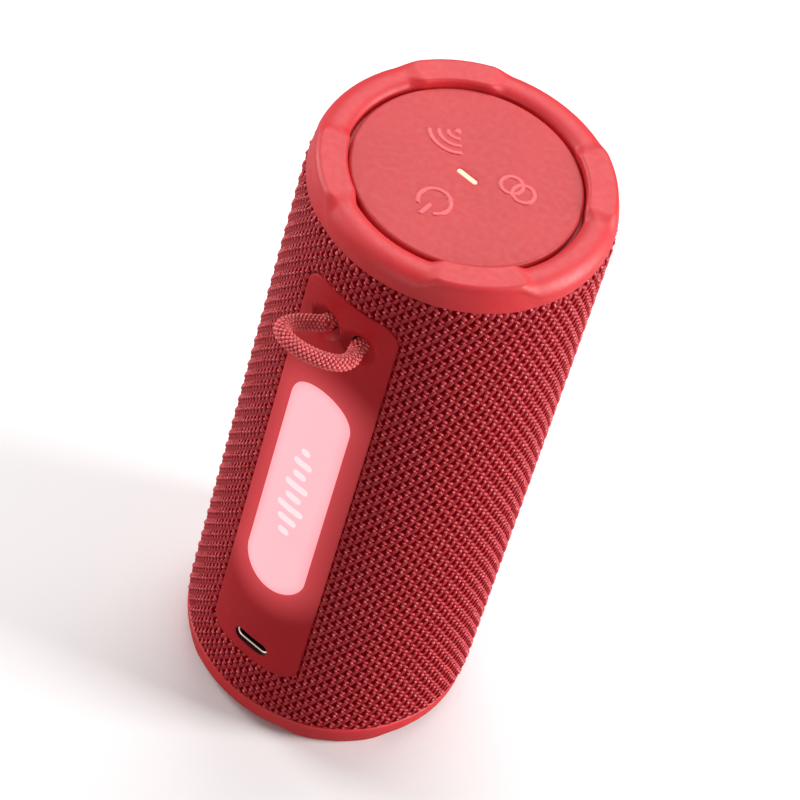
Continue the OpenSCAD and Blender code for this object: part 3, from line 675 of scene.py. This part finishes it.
def opening_distance(x, y, z):
    """How far a point of the fabric lies outside the nearest opening; negative inside one."""
    qx = np.abs(x) - (STRIP_W / 2 - STRIP_CORNER)
    qz = np.abs(z - STRIP_Z) - (STRIP_H / 2 - STRIP_CORNER)
    outside = np.hypot(np.maximum(qx, 0), np.maximum(qz, 0)) + np.minimum(np.maximum(qx, qz), 0)
    distance = np.where(y < 0, outside - STRIP_CORNER - STRIP_GAP, 1.0)
    for cx, cz, radius in map(key_circle, FRONT_KEYS):
        distance = np.where(y > 0, np.minimum(distance, np.hypot(x - cx, z - cz) - radius), distance)
    return distance


def knit_relief(column, repeat):
    """(height 0-1, tone 0-1) of the knit at points given in columns and repeats."""
    tones = np.random.default_rng(11).random((KNIT_COLUMNS, KNIT_REPEATS + KNIT_SKEW + 4, len(STITCHES)))
    height = np.zeros_like(column)
    tone = np.full_like(column, 0.3)
    for side in (-1, 0, 1):  # a stitch can reach into the neighbouring columns and repeats
        at = np.floor(column) + side
        x = (column - at - 0.5) * COLUMN_W
        shifted = repeat + 0.5 * (at % 2)
        for step in (-1, 0, 1):
            row = np.floor(shifted) + step
            y = (shifted - row - 0.5) * REPEAT_H
            for k, stitch in enumerate(STITCHES):
                (cx, cy), half_w, half_h, lean, proud, rise, dark, light = stitch
                dx = (x - cx - lean * (y - cy)) / half_w
                dy = (y - cy) / half_h
                bump = (proud + rise * dy) * np.clip(1 - dx**2 - dy**2, 0, 1) ** 0.6
                chance = tones[at.astype(int) % KNIT_COLUMNS, row.astype(int) + 2, k]
                tone = np.where(bump > height, dark + (light - dark) * chance, tone)
                height = np.maximum(height, bump)
    return height, tone


def fabric_lattice():
    """X, Y and Z of the points round and up the sleeve, and the quads that lie outside the openings."""
    columns = KNIT_COLUMNS * POINTS_PER_COLUMN
    rows = KNIT_REPEATS * POINTS_PER_REPEAT + 1
    u, v = np.meshgrid(np.arange(columns) / POINTS_PER_COLUMN, np.arange(rows) / POINTS_PER_REPEAT)
    angle = (-math.pi / 2 + u / KNIT_COLUMNS * math.tau).ravel()
    z = (FABRIC_LOW.z + v / KNIT_REPEATS * (FABRIC_HIGH.z - FABRIC_LOW.z)).ravel()
    x, y = FABRIC_R * np.cos(angle), FABRIC_R * np.sin(angle)
    faces = lattice_faces(rows, columns)
    outside = opening_distance(x, y, z)[faces] > -0.5 * FABRIC_CELL
    return x, y, z, faces[outside.all(1)]


def snap_to_openings(x, y, z, faces):
    """Moves the points along an opening's edge onto its outline."""
    sides = np.sort(np.concatenate([faces[:, [k, (k + 1) % 4]] for k in range(4)]), 1)
    edges, uses = np.unique(sides, axis=0, return_counts=True)
    border = np.unique(edges[uses == 1])
    border = border[opening_distance(x, y, z)[border] < 2 * FABRIC_CELL]
    step = 0.01 * MM
    for _ in range(3):
        px, py, pz = x[border], y[border], z[border]
        distance = opening_distance(px, py, pz)
        x[border] -= distance * (opening_distance(px + step, py, pz) - distance) / step
        z[border] -= distance * (opening_distance(px, py, pz + step) - distance) / step
        y[border] = np.sign(py) * np.sqrt(FABRIC_R**2 - x[border] ** 2)


def knitted_points(x, y, z):
    """The sleeve's points with the knit's relief, and the yarn's tone at each."""
    angle = np.arctan2(y, x)
    u = ((angle + math.pi / 2) % math.tau) / math.tau * KNIT_COLUMNS
    low, high = FABRIC_LOW.z, FABRIC_HIGH.z
    v = (z - low) / (high - low) * KNIT_REPEATS + u * KNIT_SKEW / KNIT_COLUMNS
    height, tone = knit_relief(u, v)
    crest = 0.5 + 0.5 * np.cos(math.tau * (v - 0.5 * u + RIDGE_START))
    edge = np.minimum(np.minimum(z - low, high - z), np.maximum(opening_distance(x, y, z), 0))
    hem = smoothstep(edge / HEM_WIDTH)
    relief = KNIT_RELIEF * height * (0.4 + 0.6 * hem) + RIDGE_RELIEF * crest
    radius = FABRIC_R - KNIT_BED + relief - HEM_DROP * (1 - hem)
    return np.stack([radius * np.cos(angle), radius * np.sin(angle), z], 1), tone


def turn_in_edges(mesh):
    """Turns the fabric in towards the body along all its edges."""
    shape = bmesh.new()
    shape.from_mesh(mesh)
    border = [e for e in shape.edges if e.is_boundary]
    for item in bmesh.ops.extrude_edge_only(shape, edges=border)["geom"]:
        if isinstance(item, bmesh.types.BMVert):
            across = math.hypot(item.co.x, item.co.y)
            item.co.x *= 1 - FABRIC_TUCK / across
            item.co.y *= 1 - FABRIC_TUCK / across
    bmesh.ops.recalc_face_normals(shape, faces=shape.faces)
    shape.to_mesh(mesh)
    shape.free()


def fabric():
    x, y, z, faces = fabric_lattice()
    snap_to_openings(x, y, z, faces)
    points, tone = knitted_points(x, y, z)
    used, faces = np.unique(faces, return_inverse=True)
    mesh = bpy.data.meshes.new("fabric")
    mesh.from_pydata(points[used], [], faces.reshape(-1, 4))
    store_values(mesh, tone=tone[used])
    turn_in_edges(mesh)
    join(smooth_piece("fabric", mesh, materials["knit"]), "fabric_sleeve")


# ---- light strip

CORD_DISH_R = 4.35 * MM
CORD_DISH_DEPTH = 1.35 * MM
CORD_HOLE_R = CORD_R + 0.3 * MM
STRIP_THICKNESS = 1.9 * MM
WINDOW_PLAY = 0.1 * MM  # how much wider the window's hole is than the window
SOCKET_PLAY = 0.2 * MM
STRIP_CELL = (0.9 * MM, 4 * MM)
WINDOW_CELL = (0.9 * MM, 3 * MM)
MOTIF_CELL = (0.8 * MM, 0.8 * MM)
MOTIF_BARS = (3.0, 5.2, 7.2, 4.4, 6.4, 3.6, 5.0, 2.4)  # widths in millimetres, like a level meter
MOTIF_PITCH = 3.9 * MM
MOTIF_BAR = 2.0 * MM


def capsule_outline(width, height, z, per_corner):
    return rounded_outline(width, height, min(width, height) / 2, (0, z), per_corner)


def dished_edge():
    """Edge profile of a cord hole: a shallow dish, deepest at the hole."""
    width = CORD_DISH_R - CORD_HOLE_R
    return [(share * width, CORD_DISH_DEPTH * (1 - share**1.8)) for share in np.linspace(0, 1, 9)]


def strip():
    def outer(inset):
        width, height = STRIP_W - 2 * inset, STRIP_H - 2 * inset
        return rounded_outline(width, height, STRIP_CORNER - inset, (0, STRIP_Z), 20)

    def window_hole(inset):
        grow = WINDOW_PLAY + 2 * inset
        return capsule_outline(WINDOW_W + grow, WINDOW_H + grow, WINDOW_Z, 30)

    def socket_hole(inset):
        grow = SOCKET_PLAY + 2 * inset
        return capsule_outline(SOCKET_W + grow, SOCKET_H + grow, SOCKET_Z, 14)

    rims = [
        (outer, round_edge(0.55 * MM)), (window_hole, round_edge(0.15 * MM, 3)),
        (socket_hole, round_edge(0.3 * MM, 4)),
    ]
    for x in (-CORD_X, CORD_X):
        rims.append((lambda inset, x=x: circle_outline(CORD_HOLE_R + inset, (x, CORD_Z), 56), dished_edge()))
    place = on_strip_side(STRIP_R)
    made = plate("strip_face", rims, STRIP_THICKNESS, place, materials["strip_red"], STRIP_CELL)
    sharpen(made, 60)
    join(made, "strip_cover")


def window():
    def outer(inset):
        return capsule_outline(WINDOW_W - 2 * inset, WINDOW_H - 2 * inset, WINDOW_Z, 30)

    rims = [(outer, round_edge(0.2 * MM, 4))]
    place = on_strip_side(STRIP_R - 0.1 * MM)
    made = plate("window_lens", rims, 1.7 * MM, place, materials["lit_diffuser"], WINDOW_CELL)
    join(made, "light_window")
    for k, width in enumerate(MOTIF_BARS):
        motif_bar(k + 1, width * MM, WINDOW_Z + (k - (len(MOTIF_BARS) - 1) / 2) * MOTIF_PITCH)


def motif_bar(number, width, z):
    """One bar of the sign in the window, a thin inlay that glows more than the window."""

    def outer(inset):
        return rounded_outline(width - 2 * inset, MOTIF_BAR - 2 * inset, MOTIF_BAR / 2 - inset, (0, z), 8)

    place = on_strip_side(STRIP_R - 0.04 * MM)
    rims = [(outer, round_edge(0.08 * MM, 3))]
    made = plate(f"window_bar_{number}", rims, 0.4 * MM, place, motif_glow, MOTIF_CELL)
    join(made)


def usb_socket():
    """A drawn metal shell with a rolled lip."""
    mouth, back = SOCKET_MOUTH, SOCKET_BACK
    # (how far the outline stands in from the shell's outside, y), over the lip and down the inside
    section = (
        (0, back), (0, mouth + 0.12 * MM), (0.05 * MM, mouth + 0.03 * MM), (0.13 * MM, mouth),
        (0.22 * MM, mouth + 0.03 * MM), (0.3 * MM, mouth + 0.1 * MM), (0.3 * MM, back - 0.8 * MM),
    )
    loops = []
    for inset, y in section:
        flat = capsule_outline(SOCKET_W - 2 * inset, SOCKET_H - 2 * inset, SOCKET_Z, 16)
        loops.append([(x, y, z) for x, z in flat])
    made = ring_stack("usb_shell", loops, socket_metal, (True, True))
    sharpen(made, 50)
    join(made, "usb_socket")


# ---- control panel

KEY_SKIN_R = 7.2 * MM
KEY_DOME = 0.12 * MM
SLIT_W = 5.3 * MM
SLIT_H = 1.3 * MM
SLIT_PLAY = 0.1 * MM
ICON_LINE = 1.1 * MM
ICON_H = 0.26 * MM
ICON_LIFT = 0.02 * MM
LINE_POINTS = 9  # over a raised line's half-round section
LINE_ENDS = (0.4, 0.8, 1.2, 1.5)  # radians round the end of a raised line


def key_centre(name):
    """The middle of a panel key, which is that of its plunger."""
    low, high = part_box(name + "_plunger")
    return (low.x + high.x) / 2, (low.y + high.y) / 2


def slit_outline(grow):
    return rounded_outline(SLIT_W + grow, SLIT_H + grow, (SLIT_H + grow) / 2, (0, 0), 10)


def control_panel():
    rims = [(lambda inset: circle_outline(PANEL_R - inset, count=192), round_edge(0.8 * MM, 7))]
    rims.append((lambda inset: slit_outline(2 * inset), round_edge(0.12 * MM, 3)))
    straight = [(0.0, 0.0), (0.4 * MM, 0.0)]
    for name in PANEL_KEYS:
        rims.append((lambda inset, c=key_centre(name): circle_outline(KEY_SKIN_R + inset, c), straight))
    made = plate("panel_face", rims, PANEL_Z - CARRIER_Z, on_top(PANEL_Z), panel_rubber)
    sharpen(made, 50)
    join(made, "control_panel")


def key_skin(name):
    """The stretch of panel over a key: it bulges by a hair."""
    centre = key_centre(name)
    loops = []
    for share in (1, 0.97, 0.9, 0.8, 0.7, 0.6, 0.5, 0.4, 0.3, 0.2, 0.1):
        z = PANEL_Z + KEY_DOME * (0.5 + 0.5 * math.cos(math.pi * share))
        loops.append([(x, y, z) for x, y in circle_outline(KEY_SKIN_R * share, centre)])
    made = ring_stack(name + "_key_skin", loops, panel_rubber, (False, True))
    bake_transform(made)


def line_stations(line, closed, width):
    """(point, direction across, size) along a line of flat points; an open line gets round ends."""
    if closed:
        ahead, behind = np.roll(line, -1, 0), np.roll(line, 1, 0)
    else:
        ahead, behind = np.vstack([line[1:], line[-1:]]), np.vstack([line[:1], line[:-1]])
    along = (ahead - behind) / np.linalg.norm(ahead - behind, axis=1)[:, None]
    side = np.stack([-along[:, 1], along[:, 0]], 1)
    stations = [(p, s, 1.0) for p, s in zip(line, side, strict=True)]
    if closed:
        return stations
    reach = width / 2 * along
    start = [(line[0] - reach[0] * math.sin(a), side[0], math.cos(a)) for a in reversed(LINE_ENDS)]
    stop = [(line[-1] + reach[-1] * math.sin(a), side[-1], math.cos(a)) for a in LINE_ENDS]
    return start + stations + stop


def raised_lines(name, lines, centre, z, width, height, place=None):
    """Raised lines with a half-round section, from (closed, flat points in millimetres) of each."""
    shape = bmesh.new()
    for closed, line in lines:
        rows = []
        for point, side, size in line_stations(np.array(line, float) * MM + np.array(centre), closed, width):
            row = []
            for a in np.linspace(0, math.pi, LINE_POINTS):
                flat = point + side * (width / 2 * size * math.cos(a))
                lift = height * min(1.0, size * 1.2) * math.sin(a) ** 0.7
                row.append(shape.verts.new((flat[0], flat[1], z + lift)))
            rows.append(row)
        following = rows[1:] + rows[:1] if closed else rows[1:]
        for first, second in zip(rows, following, strict=False):
            for k in range(LINE_POINTS):
                m = (k + 1) % LINE_POINTS
                shape.faces.new((first[k], first[m], second[m], second[k]))
        if not closed:
            shape.faces.new(rows[0])
            shape.faces.new(list(reversed(rows[-1])))
    if place:
        for v in shape.verts:
            v.co = Vector(place(*v.co))
    return from_bmesh(name, shape, icon_rubber)


def ring_line(radius, centre=(0, 0), steps=48):
    return (True, turn(radius, 0, 360 - 360 / steps, centre, steps))


WAVE_CENTRE = (0, 2.7)
# The panel's keys with their icons, which read upright from the side opposite the light strip
PANEL_KEYS = {
    "power": [(False, turn(3.5, -50, 230)), (False, [(0, -1.6), (0, -3.1), (0, -4.6)])],
    "wireless": [
        *[(False, turn(radius, -135, -45, WAVE_CENTRE, 24)) for radius in (2.1, 4.1, 6.1)],
        ring_line(0.3, WAVE_CENTRE, 16),
    ],
    "link": [ring_line(2.4, (-1.6, 0)), ring_line(2.4, (1.6, 0))],
}


def panel_keys():
    for name, lines in PANEL_KEYS.items():
        key_skin(name)
        icon_z = PANEL_Z + ICON_LIFT
        made = raised_lines(name + "_key_icon", lines, key_centre(name), icon_z, ICON_LINE, ICON_H)
        join(made, name + "_button", name + "_key")


def status_light():
    depth = PANEL_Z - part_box("status_light_guide")[0].z
    rims = [(lambda inset: slit_outline(-SLIT_PLAY - 2 * inset), round_edge(0.2 * MM, 4))]
    made = plate("status_light", rims, depth, on_top(PANEL_Z + 0.03 * MM), status_glow)
    join(made, "status_light_guide")


def bottom_panel():
    low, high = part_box("bottom_panel")
    rims = [(lambda inset: circle_outline(PANEL_R - inset, count=160), round_edge(0.8 * MM, 7))]

    def place(x, y, depth):
        return (x, y, low.z + depth)

    made = plate("base_plate", rims, high.z - low.z, place, panel_rubber)
    sharpen(made, 50)
    join(made, "bottom_panel")


# ---- front keys


def triangle_outline(size, radius, steps=6):
    """A triangle with round corners that points right."""
    points = []
    for angle in (0, 120, 240):
        corner = turn(size - radius, angle, angle, steps=1)[0]
        points += turn(radius, angle - 60, angle + 60, corner, steps)
    return points


CAP_DEPTH = 2.4 * MM
CAP_CELL = (1 * MM, 1 * MM)
SIGN_LINE = 0.8 * MM
SIGN_H = 0.4 * MM
LEVEL_LINE = (False, [(-2, 0), (0, 0), (2, 0)])
FRONT_SIGNS = {
    "volume_up": [LEVEL_LINE, (False, [(0, -2), (0, 0), (0, 2)])],
    "play": [(True, triangle_outline(2.3, 0.5))],
    "volume_down": [LEVEL_LINE],
}


def front_key(name):
    cx, cz, hole_r = key_circle(name)
    radius = hole_r - KEY_CLEARANCE
    face = FABRIC_R + 0.2 * MM

    def place(x, z, depth):
        return (cx - x, math.sqrt(face**2 - (cx - x) ** 2) - depth, cz + z)

    def place_sign(x, z, lift):
        return place(x, z, -lift)

    rims = [(lambda inset: circle_outline(radius - inset, count=64), round_edge(0.7 * MM, 7))]
    cap = plate(name + "_key_cap", rims, CAP_DEPTH, place, icon_rubber, CAP_CELL)
    join(cap, name + "_button", name + "_key")
    lines = FRONT_SIGNS[name]
    sign = raised_lines(name + "_key_sign", lines, (0, 0), -0.05 * MM, SIGN_LINE, SIGN_H, place_sign)
    join(sign, body=name + "_key")


# ---- carry loop

STRANDS_PER_WAY = 8
BRAID_LENGTH = 7.5 * MM  # along the cord, in which a strand goes once round it
STRAND_WIDE = 0.74 * MM
STRAND_HIGH = 0.27 * MM
BRAID_WAVE = 0.17 * MM
BRAID_STATIONS = 420
BRAID_SIDES = 6  # of a strand's section
CORE_SIDES = 16
# Control points of the loop's middle line as offsets from the hinge's middle, in millimetres
LOOP_LINE = (
    (-4.4, 0, 0), (-7.5, -3.4, 0), (-22.5, -19.4, 5), (10.5, -11.9, 2), (6.5, -3.9, -1.5), (4.4, 0, 0),
)
LOOP_INSIDE = 2.6 * MM  # how far the cord runs on behind the strip


def loop_line(samples):
    """Points along the cord, from inside one hole to inside the other."""
    control = np.array(LOOP_LINE) * MM + np.array(LOOP_HINGE)
    t = np.linspace(0, 1, samples)[:, None]
    n = len(control) - 1
    curve = sum(math.comb(n, k) * (1 - t) ** (n - k) * t**k * control[k] for k in range(n + 1))
    inside = np.linspace(LOOP_INSIDE, 0, 24, endpoint=False)[:, None] * np.array([0, 1.0, 0])
    path = np.concatenate([control[0] + inside, curve, (control[n] + inside)[::-1]])
    steps = np.r_[0, np.cumsum(np.linalg.norm(np.diff(path, axis=0), axis=1))]
    at = np.linspace(0, steps[-1], samples)
    return np.stack([np.interp(at, steps, path[:, k]) for k in range(3)], 1), steps[-1]


def carried_frames(path):
    """Two directions square to the path at each point, turned as little as possible along it."""
    along = np.gradient(path, axis=0)
    along /= np.linalg.norm(along, axis=1)[:, None]
    first = np.zeros_like(path)
    side = np.cross(along[0], (0, 0, 1.0))
    for k, direction in enumerate(along):
        side = side - direction * (side @ direction)
        side /= np.linalg.norm(side)
        first[k] = side
    return first, np.cross(along, first)


def braid_strand(path, sides, angle, lift):
    """The points of a strand that winds round the path; lift is 1 where it runs over and -1 under."""
    out = sides[0] * np.cos(angle)[:, None] + sides[1] * np.sin(angle)[:, None]
    middle = path + out * (CORD_R - STRAND_HIGH - BRAID_WAVE + BRAID_WAVE * lift)[:, None]
    forward = np.gradient(middle, axis=0)
    forward /= np.linalg.norm(forward, axis=1)[:, None]
    around = np.arange(BRAID_SIDES) * math.tau / BRAID_SIDES
    wide = np.cross(forward, out)[:, None] * (STRAND_WIDE / 2 * np.cos(around))[None, :, None]
    high = out[:, None] * (STRAND_HIGH * np.sin(around))[None, :, None]
    return (middle[:, None] + wide + high).reshape(-1, 3)


def cord_braid(path, sides, length):
    run = np.linspace(0, length, BRAID_STATIONS)
    turned = round(length / BRAID_LENGTH) / length * math.tau * run
    tones = np.random.default_rng(5).random((2, STRANDS_PER_WAY)) * 0.8 + 0.1
    points, raised = [], []
    for way in (1, -1):
        lift = way * np.cos(STRANDS_PER_WAY * turned)
        for k in range(STRANDS_PER_WAY):
            angle = way * turned + math.tau * k / STRANDS_PER_WAY
            points.append(braid_strand(path, sides, angle, lift))
            # how far over the strand runs, from which the braid's painted highlight and painted shade are drawn
            raised.append(np.repeat(0.55 + 0.45 * lift, BRAID_SIDES))
    strand_points = BRAID_STATIONS * BRAID_SIDES
    strand_faces = lattice_faces(BRAID_STATIONS, BRAID_SIDES)
    mesh = bpy.data.meshes.new("cord_braid")
    faces = np.concatenate([strand_faces + k * strand_points for k in range(len(points))])
    mesh.from_pydata(np.concatenate(points), [], faces)
    around = np.tile(np.arange(BRAID_SIDES) / BRAID_SIDES, BRAID_STATIONS * len(points))
    tone = np.repeat(tones.ravel(), strand_points)
    store_values(mesh, raised=np.concatenate(raised), tone=tone, around=around)
    return smooth_piece("cord_braid", mesh, materials["braided_cord"])


def cord_core(path, sides):
    """A plain cord inside the braid, which closes its gaps; it is painted all over in the braid's dark painted
    shade.
    """
    radius = CORD_R - 2 * STRAND_HIGH - BRAID_WAVE
    angles = np.arange(CORE_SIDES) * math.tau / CORE_SIDES
    loops = []
    for p, a, b in zip(path[::3], sides[0][::3], sides[1][::3], strict=True):
        loops.append([tuple(p + radius * (a * math.cos(t) + b * math.sin(t))) for t in angles])
    made = ring_stack("cord_core", loops, materials["braided_cord"], (True, True))
    # raised 0 paints the whole core in the braid's painted shade colour
    store_values(made.data, raised=0.0, tone=0.1, around=0.0)
    return made


def carry_loop():
    path, length = loop_line(BRAID_STATIONS)
    sides = carried_frames(path)
    braid = cord_braid(path, sides, length)
    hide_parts("carry_loop")
    for made in (braid, cord_core(path, sides)):
        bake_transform(made)


# ---- the rest of the CAD nodes


def dress_cad_nodes():
    """Every CAD node that stays gets its slot's material and softly broken edges."""
    slots = {part["node"]: part["material_slot"] for part in frame["record"]["subparts"]}
    for name, node in frame["nodes"].items():
        if node.hide_render:
            continue
        node.data.materials.clear()
        node.data.materials.append(materials[slots[name]])
        bevel = node.modifiers.new("broken_edges", "BEVEL")
        bevel.width = 0.12 * MM
        bevel.segments = 2
        bevel.limit_method = "ANGLE"
        bevel.angle_limit = math.radians(50)


# ---- stage

# Where the camera stands as seen from the speaker, in degrees, and how far it is rolled and moved aside
VIEW_AZIMUTH = 26.957
VIEW_ELEVATION = 49.121
VIEW_ROLL = math.radians(17.567)
VIEW_DISTANCE = 1.0162
VIEW_SHIFT = (1.7 * MM, 3.1 * MM)
LENS = 207.9
TARGET = Vector((0, 0, BODY_H / 2))
WHITE = (1, 1, 1)
# name, azimuth and elevation in degrees, distance, width and height, power in watts, colour
LIGHTS = (
    ("top_softbox", 203, 54, 1.0, (0.9, 0.7), 7.2, WHITE),
    ("right_softbox", 118, 15, 0.8, (0.3, 0.9), 11.5, WHITE),
    ("left_softbox", -80, 20, 0.8, (0.3, 0.9), 5.6, WHITE),
    ("front_fill", 15, 12, 1.4, (0.9, 0.9), 6.5, (1, 0.72, 0.72)),
)
FLOOR_BOUNCE = 0.32  # share of the floor's light that reaches the speaker, as if the floor were further off
WORLD_LIGHT = 0.17  # strength with which the white backdrop lights the speaker


def direction(azimuth, elevation):
    """Direction from the speaker; azimuth 0 is the light strip's side."""
    az, el = math.radians(azimuth), math.radians(elevation)
    return Vector((math.sin(az) * math.cos(el), -math.cos(az) * math.cos(el), math.sin(el)))


def camera():
    back = direction(VIEW_AZIMUTH, VIEW_ELEVATION)
    level = (-back).cross(Vector((0, 0, 1))).normalized()
    upright = level.cross(-back)
    right = level * math.cos(VIEW_ROLL) + upright * math.sin(VIEW_ROLL)
    up = upright * math.cos(VIEW_ROLL) - level * math.sin(VIEW_ROLL)
    data = bpy.data.cameras.new("camera")
    data.lens = LENS
    data.clip_start = 0.05
    made = new_object("camera", data)
    turned = Matrix((right, up, back)).transposed()
    place = TARGET + back * VIEW_DISTANCE + right * VIEW_SHIFT[0] + up * VIEW_SHIFT[1]
    made.matrix_world = Matrix.Translation(place) @ turned.to_4x4()
    bpy.context.scene.camera = made


def area_light(name, azimuth, elevation, distance, size, power, colour):
    data = bpy.data.lights.new(name, "AREA")
    data.shape = "RECTANGLE"
    data.size, data.size_y = size
    data.energy = power
    data.color = colour
    made = new_object(name, data)
    towards = direction(azimuth, elevation)
    made.location = TARGET + towards * distance
    made.rotation_euler = towards.to_track_quat("Z", "Y").to_euler()


def floor():
    """A pale floor that is bright to the camera, and lights the speaker less than it looks."""
    shape = bmesh.new()
    bmesh.ops.create_grid(shape, x_segments=8, y_segments=8, size=3.0)
    s = Shader("floor")
    seen = s.node("ShaderNodeLightPath").outputs["Is Camera Ray"]
    tone = s.times(s.vary(s.noise(3, 3), 0.86, 0.88), s.span(seen, 0.0, 1.0, FLOOR_BOUNCE, 1.0))
    from_bmesh("floor", shape, s.finish(Base_Color=tone, Roughness=0.85))


def backdrop():
    """A world that is white to the camera, and lights the speaker only a little."""
    world = bpy.data.worlds.new("world")
    bpy.context.scene.world = world
    world.use_nodes = True
    tree = world.node_tree
    background = tree.nodes["Background"]
    background.inputs["Color"].default_value = (*WHITE, 1)
    strength = tree.nodes.new("ShaderNodeMapRange")
    strength.inputs["To Min"].default_value = WORLD_LIGHT
    strength.inputs["To Max"].default_value = 1.0
    tree.links.new(tree.nodes.new("ShaderNodeLightPath").outputs["Is Camera Ray"], strength.inputs["Value"])
    tree.links.new(strength.outputs[0], background.inputs["Strength"])


def studio():
    floor()
    for light in LIGHTS:
        area_light(*light)
    backdrop()
    bpy.context.scene.view_settings.view_transform = "Standard"


rim("upper_rim", "top_rim", True)
rim("lower_rim", "bottom_rim", False)
fabric()
strip()
window()
usb_socket()
control_panel()
panel_keys()
status_light()
bottom_panel()
for key in FRONT_KEYS:
    front_key(key)
carry_loop()
dress_cad_nodes()
studio()
camera()
